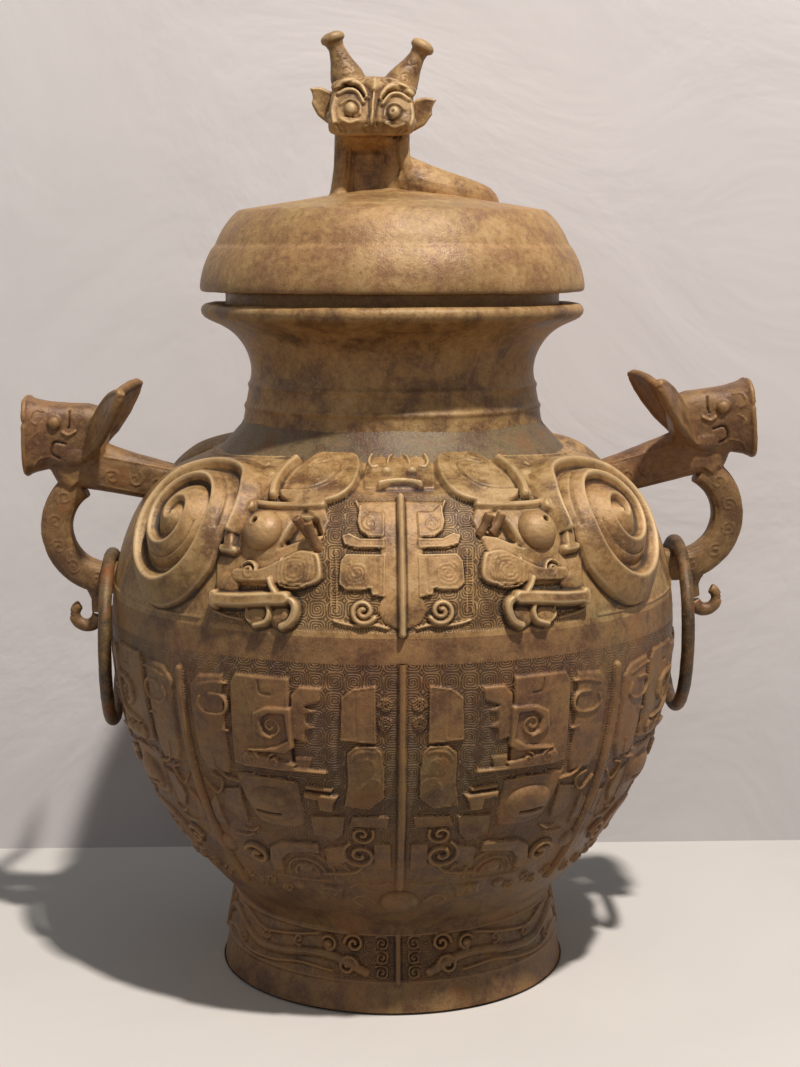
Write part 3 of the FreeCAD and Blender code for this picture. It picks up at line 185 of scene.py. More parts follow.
class Relief:
    """Relief of one stretch of the wall: height in millimetres, and the fine line work on it."""

    def __init__(self, azimuth_end, z_low, z_high, texel=0.3):
        self.s = np.arange(arc_at(z_low), arc_at(z_high) + texel, texel)
        self.z = height_at(self.s)
        self.r = radius_at(self.z)
        self.texel = texel
        self.a_step = texel / (RAD * self.r.max())
        self.a = np.arange(-1.0, azimuth_end + 1.0, self.a_step)
        shape = (len(self.s), len(self.a))
        self.height = np.zeros(shape)
        self.ground = np.ones(shape)
        self.lines = np.zeros(shape)

    def window(self, points, reach):
        """Slices round some (azimuth, z) points, the millimetre grids there and the points in them."""
        points = np.asarray(points, float)
        middle = (points[:, 0].min() + points[:, 0].max()) / 2
        s = arc_at(points[:, 1])
        r = radius_at(points[:, 1])
        side = reach / (RAD * r.min())
        i0, i1 = np.searchsorted(self.s, [s.min() - reach, s.max() + reach])
        j0, j1 = np.searchsorted(self.a, [points[:, 0].min() - side, points[:, 0].max() + side])
        rows, columns = slice(i0, i1), slice(j0, j1)
        x = (self.a[None, columns] - middle) * RAD * self.r[rows, None]
        y = np.broadcast_to(self.s[rows, None], x.shape)
        local = np.stack([(points[:, 0] - middle) * RAD * r, s], -1)
        return (rows, columns), x, y, local

    def distance(self, x, y, line, reach):
        """Distance of each grid place to a line of points, within reach."""
        nearest = np.full(x.shape, reach * 2.0)
        for p, q in zip(line[:-1], line[1:]):
            rows = np.where((y[:, 0] > min(p[1], q[1]) - reach) & (y[:, 0] < max(p[1], q[1]) + reach))[0]
            if not len(rows):
                continue
            cut = slice(rows[0], rows[-1] + 1)
            along = q - p
            length = max(float(along @ along), 1e-9)
            t = np.clip(((x[cut] - p[0]) * along[0] + (y[cut] - p[1]) * along[1]) / length, 0, 1)
            gap = np.hypot(x[cut] - p[0] - t * along[0], y[cut] - p[1] - t * along[1])
            nearest[cut] = np.minimum(nearest[cut], gap)
        return nearest

    def lift(self, at, height, cover=None):
        """Raises the relief to a height, and clears the fine ground under it."""
        self.height[at] = np.maximum(self.height[at], height)
        if cover is not None:
            self.ground[at] = np.minimum(self.ground[at], 1 - cover)

    def stroke(self, points, width, height, edge=0.7, crown=False, bend=True, clear=True):
        """A raised bar along a line."""
        reach = width / 2 + edge + 1
        at, x, y, local = self.window(points, reach)
        line = smooth_line(local) if bend else local
        gap = self.distance(x, y, line, reach)
        if crown:
            body = np.sqrt(np.clip(1 - (gap / (width / 2)) ** 2, 0, 1))
        else:
            body = 1 - ramp(gap, width / 2 - edge, width / 2 + edge * 0.4)
        self.lift(at, height * body, (body > 0.15) if clear else None)

    def groove(self, points, width, depth, bend=True):
        """A sunk line."""
        reach = width + 1
        at, x, y, local = self.window(points, reach)
        line = smooth_line(local) if bend else local
        gap = self.distance(x, y, line, reach)
        self.height[at] -= depth * (1 - ramp(gap, width * 0.15, width * 0.6))

    def plateau(self, points, height, edge=0.8, bend=False, add=False, lines=False):
        """A raised area inside an outline."""
        reach = edge * 2 + 1
        outline = list(points) + [points[0]]
        at, x, y, local = self.window(outline, reach)
        line = smooth_line(local) if bend else local
        gap = self.distance(x, y, line, reach)
        inside = np.zeros(x.shape, bool)
        for p, q in zip(line[:-1], line[1:]):
            if p[1] == q[1]:
                continue
            crosses = (y > min(p[1], q[1])) & (y <= max(p[1], q[1]))
            inside ^= crosses & (x < p[0] + (y - p[1]) * (q[0] - p[0]) / (q[1] - p[1]))
        signed = np.where(inside, gap, -gap)
        body = ramp(signed, -edge * 0.3, edge)
        if add:
            self.height[at] += height * body
            self.ground[at] = np.minimum(self.ground[at], 1 - (body > 0.15))
        else:
            self.lift(at, height * body, None if lines else (body > 0.15))

    def plate(self, points, height, edge=0.6, bend=False):
        """A low flat area with a fine raised line round it."""
        self.plateau(points, height, edge, bend)
        self.stroke(list(points) + [points[0]], 0.9, height + 0.55, 0.35, bend=bend)

    def dome(self, spot, wide, tall, height, power=2.0):
        """A rounded boss of half width, half height and height over the wall."""
        at, x, y, local = self.window([spot], max(wide, tall) + 1)
        q = np.abs((x - local[0][0]) / wide) ** power + np.abs((y - local[0][1]) / tall) ** power
        body = np.sqrt(np.clip(1 - q, 0, 1))
        self.lift(at, height * body, body > 0.1)

    def scroll(self, spot, radius, turns, width, height, hand=1, start=0.0, square=0.0, crown=True):
        """A raised spiral that winds in from its rim."""
        count = int(26 * turns)
        t = np.linspace(0, 1, count)
        angle = start * RAD + hand * t * turns * 2 * math.pi
        reach = radius * (1 - 0.86 * t)
        c, s = np.cos(angle), np.sin(angle)
        norm = np.maximum(np.abs(c), np.abs(s))
        reach = reach * (1 - square + square / norm)
        per_degree = RAD * radius_at(spot[1])
        z = height_at(arc_at(spot[1]) + reach * s)
        self.stroke(np.stack([spot[0] + reach * c / per_degree, z], -1), width, height, 0.5, crown, False)

    def fill_lines(self, cell, pitch):
        """Fine ground of nested squares with rounded corners, a cell's size and a line's pitch."""
        x = self.a[None, :] * RAD * self.r[:, None]
        y = (self.s - self.s[0])[:, None]
        u = (x / cell) % 1 - 0.5
        v = (y / cell) % 1 - 0.5
        hand = np.where((np.floor(x / cell) + np.floor(y / cell)) % 2 == 0, 1, -1)
        self.lines = (u ** 4 + v ** 4) ** 0.25 * cell / pitch + hand * np.arctan2(v, u) / (2 * math.pi)

    def sample(self, grid, azimuth, arc):
        i = np.clip((arc - self.s[0]) / self.texel, 0, len(self.s) - 1.001)
        j = np.clip((azimuth - self.a[0]) / self.a_step, 0, len(self.a) - 1.001)
        i0, j0 = i.astype(int), j.astype(int)
        fi, fj = i - i0, j - j0
        top = grid[i0, j0] * (1 - fj) + grid[i0, j0 + 1] * fj
        low = grid[i0 + 1, j0] * (1 - fj) + grid[i0 + 1, j0 + 1] * fj
        return top * (1 - fi) + low * fi


# Coiled horn beside each mask

HORN_SPOT = (50.6, 228.4)
HORN_NARROW, HORN_SQUASH = 1.12, 0.98
HORN_TURN = 0.015
# Turns from the tail, and the reach of the line where each whorl ends, in millimetres
HORN_LINE = ((0.0, 42.6), (0.12, 43.5), (0.25, 44.0), (0.5, 40.0), (0.75, 41.8), (0.92, 38.0), (1.0, 33.4),
             (1.12, 29.5), (1.25, 26.8), (1.5, 26.2), (1.75, 23.2), (1.9, 20.5), (2.0, 18.4), (2.25, 16.2),
             (2.5, 14.0), (2.75, 9.0), (3.0, 5.6), (3.25, 3.6), (3.6, 0.5), (4.6, -6.0))
HORN_CRESTS = (7.4, 9.2, 10.4, 10.4)
HORN_TROUGHS = (0.0, 2.0, 3.6, 7.0, 8.6)
# Shares of a whorl's width where its climb is done, where it drops off and where it has dropped
CLIMB_END, DROP_START, DROP_END = 0.66, 0.70, 0.90


def coiled_horn(relief):
    """A snail-like horn: each whorl climbs to a crest near its inner edge and drops to the next."""
    corners = [(HORN_SPOT[0] - 21, HORN_SPOT[1] - 36), (HORN_SPOT[0] + 21, HORN_SPOT[1] + 28)]
    at, x, y, _ = relief.window(corners, 6)
    dx = -HORN_NARROW * x
    dy = (y - arc_at(HORN_SPOT[1])) / HORN_SQUASH
    radius = np.hypot(dx, dy)
    turn = (np.arctan2(dy, dx) / (2 * math.pi) + HORN_TURN) % 1
    turns, reaches = np.array(HORN_LINE).T
    height = np.zeros(x.shape)
    cover = np.zeros(x.shape, bool)
    for whorl in range(4):
        outer = np.interp(turn + whorl, turns, reaches)
        inner = np.interp(turn + whorl + 1, turns, reaches)
        share = (outer - radius) / np.maximum(outer - inner, 0.5)
        within = (share >= 0) & (share < 1)
        low = np.interp(turn + whorl, range(5), HORN_TROUGHS)
        crest = np.interp(turn + whorl, range(4), HORN_CRESTS)
        after = np.interp(turn + whorl + 1, range(5), HORN_TROUGHS)
        climb = np.clip(share / CLIMB_END, 0, 1) ** 0.8
        rise = low + (crest - low) * climb * (1.06 - 0.06 * climb)
        line = 0.9 * np.exp(-((share - 0.30) / 0.035) ** 2) if whorl == 1 else 0
        fall = after + (crest - after) * (1 - ramp(share, DROP_START, DROP_END))
        height = np.where(within, np.where(share < DROP_START, rise - line, fall), height)
        cover |= within
    outer = np.interp(turn, turns, reaches)
    height = height * ramp(outer - radius, 0.0, 1.6)
    relief.lift(at, height, cover)


# Mask band


def mask_relief():
    """One half of a mask, from its nose ridge round to the handle."""
    mask = Relief(90, LEDGE_HIGH - 1, BAND_TOP + 3)
    mask.fill_lines(8.0, 1.05)
    mask.ground *= (ramp(mask.z, 188.5, 190) * (1 - ramp(mask.z, 240, 244)))[:, None]
    mask.ground *= (1 - ramp(mask.a, 33, 38))[None, :]
    # Smooth bridge either side of the nose ridge, widening to the tip
    mask.plateau([(-1, 241), (9.6, 240.5), (7.6, 234), (4.4, 230), (4.1, 221), (3.5, 215), (3.4, 205),
                  (4.6, 198), (3.4, 193), (-1, 188)], 0.9, 1.0)
    mask.stroke([(0, 241.5), (0, 215), (0, 196), (0, 188.3)], 3.4, 4.0, 1.6, crown=True, bend=False)
    mask.stroke([(9.8, 240.5), (8.2, 235.5), (6.5, 231.8)], 1.1, 1.6, 0.4)
    # Hooks and scrolls of the shield, flat with a fine line round them
    mask.plate([(3.6, 236), (7.0, 236), (8.6, 238.6), (8.8, 233.0), (8.1, 229.6), (6.5, 227.5),
                (3.6, 227.5)], 1.5)
    mask.scroll((6.2, 232.0), 3.6, 1.7, 0.9, 2.1, -1, 90)
    mask.plate([(3.4, 226.2), (8.2, 226.2), (10.4, 228), (11.6, 227.2), (11.0, 224.2), (8.5, 223.0),
                (3.4, 223.2)], 1.4)
    mask.plate([(3.3, 220.0), (10.6, 220.0), (11.4, 217.4), (11.4, 208.6), (10.2, 206.4), (7.4, 206.4),
                (5.6, 207.4), (5.4, 204.5), (3.2, 204)], 1.4)
    mask.scroll((8.5, 212.6), 5.0, 3.0, 0.85, 2.0, -1, 60, 0.3)
    mask.groove([(4.6, 218), (4.6, 206)], 0.8, 0.5)
    mask.scroll((7.0, 197.6), 5.4, 1.7, 2.6, 2.5, 1, -150)
    mask.stroke([(2.6, 190.8), (5.0, 192.0), (8.0, 191.6), (10.5, 192.4), (12.3, 193.6)], 1.5, 1.3)
    for shift in (0.0, 1.1):
        mask.stroke([(13.9 - shift, 222), (13.2 - shift, 208), (12.9 - shift, 196)], 0.8, 0.8, 0.35)
    # Eye socket: crest outside it, smooth lid over it and leaf-shaped cheek inside
    mask.plateau([(16.5, 238.2), (36.5, 238.5), (37.2, 233), (37.6, 226), (38, 214), (37, 205), (22.5, 206),
                  (17, 219), (15.5, 227), (14.6, 233)], 1.0, 1.2)
    mask.stroke([(33.4, 236.0), (35.2, 232), (35.6, 226.5), (35.0, 221)], 7.0, 4.4, 2.0)
    mask.stroke([(36.2, 219.2), (33.6, 218.8)], 5.0, 4.6, 1.6)
    mask.dome((28.4, 226.5), 13.5, 12.5, 2.6, 2.4)
    mask.plateau([(24.4, 221), (22.4, 232), (20.6, 236.6), (17.2, 233.6), (15.6, 227.4), (19.4, 226)], -4.6,
                 2.2, add=True)
    mask.plateau([(16.0, 220.4), (19.6, 221.2), (23.2, 217.5), (27.5, 213), (33, 212), (32.4, 206.8),
                  (26, 207.2), (19.5, 206.4), (16.2, 207.6), (14.8, 210.6), (15.2, 217)], 2.7, 0.9,
                 bend=True)
    mask.scroll((20.2, 212.4), 7.4, 4.2, 0.8, 3.3, -1, 40, 0.5)
    mask.groove([(16.8, 218.6), (16.1, 212), (17.4, 208.6), (21.5, 207.8)], 0.9, 0.6)
    mask.scroll((29.6, 211.6), 4.2, 1.6, 1.5, 3.3, 1, 20)
    mask.dome((34.2, 205.8), 6.4, 5.0, 3.0, 2.2)
    # Jaw: a thick bar with a spur and two curled claws under it
    mask.stroke([(35.4, 198.9), (31, 199.3), (25.5, 200.6), (21.6, 201.4)], 7.2, 5.4, 1.7)
    mask.stroke([(36.0, 200.4), (35.8, 197.4)], 6.0, 5.2, 1.6)
    mask.stroke([(24.8, 208.6), (24.0, 205.4), (22.8, 202.5)], 3.8, 5.0, 1.4)
    mask.stroke([(21.4, 202.0), (19.6, 199.6), (19.4, 195.8), (20.2, 192.0), (21.6, 190.2)], 4.6, 4.6, 1.5)
    mask.stroke([(25.0, 200.0), (24.2, 195.6), (24.8, 191.6), (27.0, 189.8)], 3.6, 4.2, 1.4)
    for spot in ((27.0, 194.0), (22.2, 194.0)):
        mask.dome(spot, 5.4, 5.2, 2.6, 2.2)
    mask.stroke([(28.9, 197.4), (29.0, 192.8), (27.4, 190.0)], 1.8, 2.6, 0.7)
    mask.stroke([(30.4, 191.6), (33.5, 192.3), (36.5, 193.6)], 1.3, 1.2)
    # Brow: an oval that winds in on itself
    mask.plateau([(17.0, 238.3), (13.2, 240.8), (10.9, 244.4), (10.2, 248.8), (10.8, 253.2), (12.9, 256.2),
                  (16.5, 257.4), (21.4, 257.3), (25.8, 256.2), (27.8, 253.2), (28.3, 248.5), (28.0, 243.4),
                  (27.4, 240.4), (23.0, 237.6)], 3.2, 1.5, bend=True)
    mask.stroke([(17.0, 238.4), (23, 237.6), (30, 237.4), (35.6, 238.4)], 4.2, 3.0, 1.4)
    mask.stroke([(27.6, 241.9), (23.5, 241.9), (19.9, 243.0), (16.8, 245.2), (15.0, 248.4), (14.6, 251.4),
                 (15.9, 253.6), (20, 254.0), (24.2, 252.9), (25.3, 250.6)], 1.2, 3.9, 0.5)
    mask.groove([(27.6, 242.9), (23, 243.2), (19.6, 244.3), (17.2, 246.6), (16.2, 249.4), (16.8, 252),
                 (20.2, 252.9), (23.8, 251.6)], 1.0, 0.8)
    mask.scroll((20.6, 248.2), 6.6, 3.6, 0.8, 3.9, 1, 20)
    # Ear outside the brow
    mask.stroke([(31.8, 253.4), (32.2, 249.5), (30.9, 245.2), (29.4, 241.2)], 4.4, 4.0, 1.5)
    mask.plateau([(39.4, 250.8), (37.6, 245.6), (35.8, 239.2), (33.4, 239.8), (32.8, 246), (33.4, 251.8)],
                 1.8, 1.0)
    mask.dome((36.4, 248.4), 5.2, 4.2, 3.2, 2.2)
    mask.stroke([(39.6, 251.5), (38.0, 246.0), (36.2, 240.0)], 1.3, 2.6, 0.6)
    # Small mask over the nose, with a lip that juts out
    mask.plateau([(-1, 257), (9.3, 257), (9.6, 249), (8.4, 244.8), (-1, 244.6)], 1.2, 0.8)
    mask.stroke([(-1, 246.2), (2.2, 246.0), (4.8, 245.3)], 3.0, 4.4, 1.2)
    mask.dome((3.4, 250.0), 2.6, 2.4, 4.2)
    mask.stroke([(5.3, 256.3), (8.0, 256.4), (8.7, 253.5), (7.4, 251.6), (6.0, 251.9)], 1.8, 2.9, 0.6)
    mask.stroke([(1.1, 256.3), (2.6, 255.6), (3.2, 253.4)], 1.6, 2.6, 0.6)
    mask.stroke([(-1, 257), (9.5, 257)], 1.1, 1.9, bend=False)
    mask.stroke([(7.6, 246.2), (9.2, 250.5)], 1.0, 1.8)
    coiled_horn(mask)
    # Raised upper edge of the band, fading towards the handle
    mask.stroke([(10, 256.4), (30, 255.6), (50, 254.2), (70, 253), (90, 252.6)], 1.2, 0.9, 0.5)
    mask.stroke([(40, 190), (60, 189.6), (78, 190.6), (90, 191)], 1.0, 0.7, 0.5)
    return mask


# Lower belly


def panel_relief():
    """Half of a belly mask: from its nose ridge to the ridge that parts it from the next."""
    panel = Relief(45, 46, LEDGE_LOW + 2)
    panel.fill_lines(8.2, 1.05)
    worn = (0.25 + 0.75 * ramp(panel.z, 70, 118))[:, None] * (1 - 0.6 * ramp(panel.a, 30, 40))[None, :]
    panel.ground *= worn * (1 - ramp(panel.z, 174.5, 175.5))[:, None]
    # Ridges at both edges and the round boss at the foot of the middle one
    panel.stroke([(0, 176), (0, 150), (0, 110), (0, 68)], 3.6, 2.6, 1.4, crown=True, bend=False)
    panel.stroke([(45, 166), (45, 130), (45, 90), (45, 62)], 4.6, 2.6, 1.8, crown=True, bend=False)
    panel.dome((0, 58.5), 8.6, 8.0, 4.0, 2.0)
    # Nose: two tall plates
    panel.plate([(4.9, 141.5), (4.9, 166.3), (8.6, 164.9), (10.7, 161), (11.1, 142.6)], 1.2)
    panel.groove([(8.4, 163), (8.3, 143.5)], 0.9, 0.5)
    panel.plate([(3.5, 128), (3.9, 137), (5.0, 139.6), (8.4, 139.4), (9.9, 136.2), (10.1, 122), (11, 112),
                 (6.4, 110.6), (3.6, 116)], 1.2)
    panel.stroke([(9.4, 133.2), (8.5, 136.6), (6.0, 137.8), (4.6, 137)], 1.0, 2.1, 0.5)
    panel.scroll((6.6, 131.0), 4.2, 3.0, 0.85, 1.8, -1, 60)
    panel.scroll((5.6, 120.2), 5.2, 3.6, 0.85, 1.8, 1, 60)
    for level in (150, 158):
        panel.scroll((3.0, level), 3.2, 2.6, 0.8, 0.9, 1, level * 9)
    panel.plate([(11.6, 105.6), (18.2, 105.0), (18.4, 96.0), (14.2, 93.2), (12.4, 97.0)], 1.0)
    panel.scroll((15.0, 99.8), 4.2, 2.2, 0.9, 1.6, -1, 20)
    panel.plate([(2.6, 106.4), (9.6, 106.0), (10.4, 101.6), (3.0, 101.8)], 0.9)
    panel.plate([(12.6, 90.4), (16.6, 88.6), (16.4, 78.4), (12.6, 82.0)], 1.0)
    panel.plate([(2.4, 92.0), (5.6, 92.2), (5.6, 80.4), (2.4, 79.0)], 0.9)
    # Toothed column beside the horn
    panel.plateau([(12.6, 166), (19.4, 165.2), (20.4, 158), (20.2, 127), (16.5, 126), (13.4, 123.4),
                   (12.2, 128), (12.6, 150)], 0.8, 0.8, lines=True)
    panel.plateau([(14.4, 165.4), (18.6, 165.6), (20.3, 161), (20.3, 142), (17.8, 140), (17.6, 146),
                   (15.6, 147.4), (17.4, 149.6), (17.4, 153), (15.2, 154.6), (17.6, 156.6), (14.8, 159)],
                  1.8, 0.7)
    panel.plateau([(16.6, 134), (20.2, 134), (20.2, 127), (17.4, 127.4)], 1.8, 0.7)
    # Squared horn, thick and cut square at its foot
    panel.plateau([(20.4, 168.8), (31.4, 168.6), (32.6, 164), (33.4, 127), (20.6, 127)], 1.7, 0.9)
    panel.groove([(26.6, 166.5), (26.3, 161.5), (24.2, 160.8)], 1.1, 0.8)
    panel.plateau([(19.9, 156.4), (25.2, 155.8), (27.9, 152.6), (28.3, 145.4), (26.4, 141.8), (24, 140.4),
                   (24, 142.4), (25.8, 144.6), (26.2, 150), (24.4, 152.4), (21.6, 152.4), (21.2, 141.6),
                   (23.6, 138.2), (29.8, 136.2), (29.9, 134.4), (21.6, 135.2), (19.9, 138)], 3.4, 0.8)
    panel.scroll((24.3, 147.0), 6.0, 1.7, 1.5, 2.9, -1, 80)
    panel.plateau([(19.2, 131), (30.0, 134.8), (31.2, 132), (30.6, 128.4), (33, 126.9), (13.6, 126.6),
                   (14.2, 128.6), (20, 129.4)], 3.2, 0.9)
    panel.scroll((28.4, 131.6), 3.0, 1.3, 1.2, 3.9, 1, 90)
    panel.scroll((24.2, 131.6), 3.0, 1.3, 1.2, 3.9, -1, 90)
    # Eye with a slit, its rim and the plates beside it
    panel.plateau([(20.2, 121.6), (32.4, 123), (33.4, 117), (31.6, 104), (29, 99), (22, 98.6), (19.8, 104)],
                  1.0, 1.4, bend=True)
    panel.dome((26.3, 109.5), 11.6, 8.8, 4.6, 2.3)
    panel.groove([(29.6, 106.6), (24.6, 106.2)], 1.9, 2.4, bend=False)
    panel.stroke([(30.5, 121.4), (26, 122.0), (21, 121.4)], 1.5, 1.9, 0.6)
    panel.plateau([(12.0, 116.6), (19.3, 117.6), (19.3, 114.4), (16.6, 113.6), (16.4, 108.8), (13.6, 108.4),
                   (13.2, 112.6)], 2.6, 0.9)
    panel.plateau([(13.2, 119.6), (18.8, 120.8), (19, 118.4), (13.4, 117.6)], 1.6, 0.7)
    # Snout curl and jaw
    panel.scroll((8.2, 97.2), 5.4, 1.4, 1.7, 1.8, 1, 150)
    panel.scroll((8.9, 86.2), 8.0, 1.6, 2.2, 1.9, -1, 60)
    panel.stroke([(18.3, 74.6), (14, 75.2), (10.2, 76.8), (8.2, 81)], 1.6, 1.8)
    panel.stroke([(11.8, 77.6), (13.6, 80.4), (16.0, 80.2)], 1.4, 1.6)
    panel.plateau([(17.8, 91.6), (26.6, 90.4), (30.2, 86.4), (31.4, 80), (31.2, 74), (28.4, 74), (27.8, 80),
                   (25.6, 84.2), (21, 86), (17.8, 86)], 2.0, 1.0)
    for reach in (13.0, 8.6, 5.4):
        turns = [(22.4 + reach * math.cos(t * RAD) / 1.85, 74 + reach * math.sin(t * RAD) * 0.92)
                 for t in range(-10, 191, 20)]
        panel.stroke(turns, 1.3, 1.5, 0.6)
    panel.dome((22.4, 76.5), 3.4, 3.0, 2.2)
    panel.stroke([(17, 70.2), (24, 69.6), (31, 70.4)], 1.3, 1.3)
    panel.plateau([(14, 66.5), (20.5, 67.4), (21.6, 61), (15, 60.2)], 1.2, 0.9)
    panel.scroll((17.6, 63.8), 4.0, 1.3, 1.2, 2.0, 1, 0)
    # Outer column with its hook, studs and lines
    panel.plateau([(34.2, 167.2), (40.2, 165.4), (42.6, 160), (42.2, 128), (40.8, 121.6), (35.4, 121),
                   (34.4, 127)], 1.3, 1.1)
    panel.stroke([(40.2, 160.8), (36.2, 163.0), (33.6, 163.4)], 1.5, 2.2)
    panel.stroke([(37.4, 157.8), (34.6, 157.6), (33.6, 154), (34.6, 149.6), (38.2, 148.6), (40.4, 151.6),
                  (39.8, 156)], 2.0, 2.3)
    panel.stroke([(35.6, 142.4), (33.8, 142.0)], 1.5, 2.1)
    panel.stroke([(38.8, 130), (38.2, 123.6), (36.4, 119.6), (33.0, 118.4)], 1.6, 2.0)
    panel.stroke([(40.2, 119.4), (37.6, 116.8), (39.8, 110.4), (42.6, 116.2)], 1.4, 1.8)
    panel.scroll((34.4, 80.8), 6.2, 1.3, 2.6, 2.6, 1, 20)
    panel.dome((43.0, 83.0), 4.4, 5.0, 1.9)
    panel.stroke([(38.4, 90.4), (35.6, 90.2), (33.2, 91.8)], 1.5, 1.6)
    panel.stroke([(35.6, 94.0), (33.4, 93.4), (31.6, 95.6)], 1.5, 1.5)
    panel.dome((26.2, 65.4), 3.0, 2.6, 2.0)
    for spot in ((30.5, 63.0), (34.0, 66.2), (38.2, 62.6), (41.5, 67.4)):
        panel.scroll(spot, 2.9, 1.2, 1.1, 1.5, 1, spot[0] * 40)
    panel.stroke([(2.5, 70), (6, 68.6), (10, 69.4), (12.5, 67)], 1.3, 1.2)
    panel.stroke([(6.5, 58), (9.5, 62.4), (12.5, 59.2), (10.2, 55.4)], 1.4, 1.3)
    panel.plate([(33.8, 114.6), (37.4, 113.0), (38.6, 104.0), (36.4, 97.6), (33.8, 99.0)], 1.1)
    panel.plate([(41.0, 108.0), (43.0, 104.0), (43.0, 94.6), (40.6, 92.8)], 0.9)
    panel.height *= 0.86
    return panel


# Ring foot


def foot_relief():
    """A quarter of the foot's band: a squared scroll by the ridge and a crested dragon's wave."""
    foot = Relief(90, 2, FOOT_HEIGHT + 2, 0.25)
    foot.fill_lines(5.2, 0.95)
    foot.ground *= (ramp(foot.z, 15.5, 16.5) * (1 - ramp(foot.z, 35, 36)))[:, None]
    foot.ground *= (0.9 - 0.75 * ramp(foot.a, 12, 30))[None, :]
    for mid in (0, 90):
        foot.stroke([(mid, 36.4), (mid, 14.6)], 2.8, 1.9, 0.9, crown=True, bend=False)
    foot.stroke([(-1, 36.2), (91, 36.2)], 1.6, 1.1, bend=False)
    foot.stroke([(-1, 14.6), (91, 14.6)], 1.3, 0.9, bend=False)
    for spot in ((5.4, 32.2), (5.4, 25.6), (5.4, 19.0)):
        foot.scroll(spot, 3.3, 1.7, 1.0, 1.2, 1, 45, 0.5)
    foot.scroll((14.8, 31.6), 4.6, 1.5, 1.8, 1.9, 1, 0)
    foot.scroll((16.6, 21.4), 4.8, 1.6, 1.8, 1.9, -1, 180)
    foot.scroll((23.6, 30.2), 4.0, 1.4, 1.7, 1.8, 1, 30)
    foot.dome((23.6, 30.2), 1.8, 1.8, 2.4)
    wave = [(10.5, 19), (20, 24.4), (30, 25.4), (42, 23.0), (54, 22.4), (66, 27.4), (76, 30.4), (86, 25)]
    foot.stroke(wave, 4.2, 1.4, 1.0)
    foot.stroke(wave, 1.1, 2.0, 0.5)
    foot.stroke([(28, 34.2), (40, 31.4), (52, 29.8), (62, 33.4), (74, 34.8)], 1.8, 1.4)
    foot.stroke([(22, 18.4), (34, 19.8), (46, 17.4), (60, 17.0), (72, 21.4), (84, 18.2)], 1.7, 1.3)
    for spot in ((35.5, 29.6), (50, 27), (64, 20.6), (80, 33)):
        foot.scroll(spot, 2.6, 1.2, 1.2, 1.5, 1, spot[0] * 7)
    return foot


# Meshes


def finish_mesh(obj, mesh):
    """Smooth shading on a checked mesh."""
    mesh.validate()
    mesh.shade_smooth()
    return obj


def grid_piece(name, points, layers=None, wrap=False):
    """A smooth sheet from a grid of points in millimetres, rows first, with point attributes."""
    rows, columns = points.shape[:2]
    index = np.arange(rows * columns).reshape(rows, columns)
    if wrap:
        index = np.hstack([index, index[:, :1]])
    quads = np.stack([index[:-1, :-1], index[:-1, 1:], index[1:, 1:], index[1:, :-1]], -1).reshape(-1, 4)
    mesh = bpy.data.meshes.new(name)
    mesh.vertices.add(rows * columns)
    mesh.vertices.foreach_set("co", (points * MM).ravel())
    mesh.loops.add(quads.size)
    mesh.loops.foreach_set("vertex_index", quads.ravel())
    mesh.polygons.add(len(quads))
    mesh.polygons.foreach_set("loop_start", np.arange(0, quads.size, 4))
    mesh.update(calc_edges=True)
    for layer, values in (layers or {}).items():
        attribute = mesh.attributes.new(layer, "FLOAT", "POINT")
        values = np.broadcast_to(values, (rows, columns)).astype(np.float32)
        attribute.data.foreach_set("value", values.ravel())
    obj = bpy.data.objects.new(name, mesh)
    bpy.context.collection.objects.link(obj)
    return finish_mesh(obj, mesh)


def around(azimuth, radius, z):
    """Points in millimetres from azimuths (columns) and a profile (rows)."""
    a = azimuth[None, :] * RAD
    radius = np.broadcast_to(radius, (radius.shape[0], azimuth.size)) if radius.ndim == 2 else radius[:, None]
    z = np.broadcast_to(z, (z.shape[0], azimuth.size)) if z.ndim == 2 else z[:, None]
    return np.stack([radius * np.sin(a), -radius * np.cos(a), z + 0 * a], -1)


def blurred(values, passes):
    """Values with their neighbours mixed in, for telling hollows from high places."""
    for _ in range(passes):
        up, down = np.roll(values, 1, 0), np.roll(values, -1, 0)
        up[0], down[-1] = values[0], values[-1]
        left, right = np.roll(values, 1, 1), np.roll(values, -1, 1)
        left[:, 0], right[:, -1] = values[:, 0], values[:, -1]
        values = (up + down + left + right + 2 * values) / 6
    return values


def folded(azimuth, period):
    """Azimuth folded to half a period, so that each motif is mirrored about its ridge."""
    a = np.abs(azimuth) % period
    return np.minimum(a, period - a)


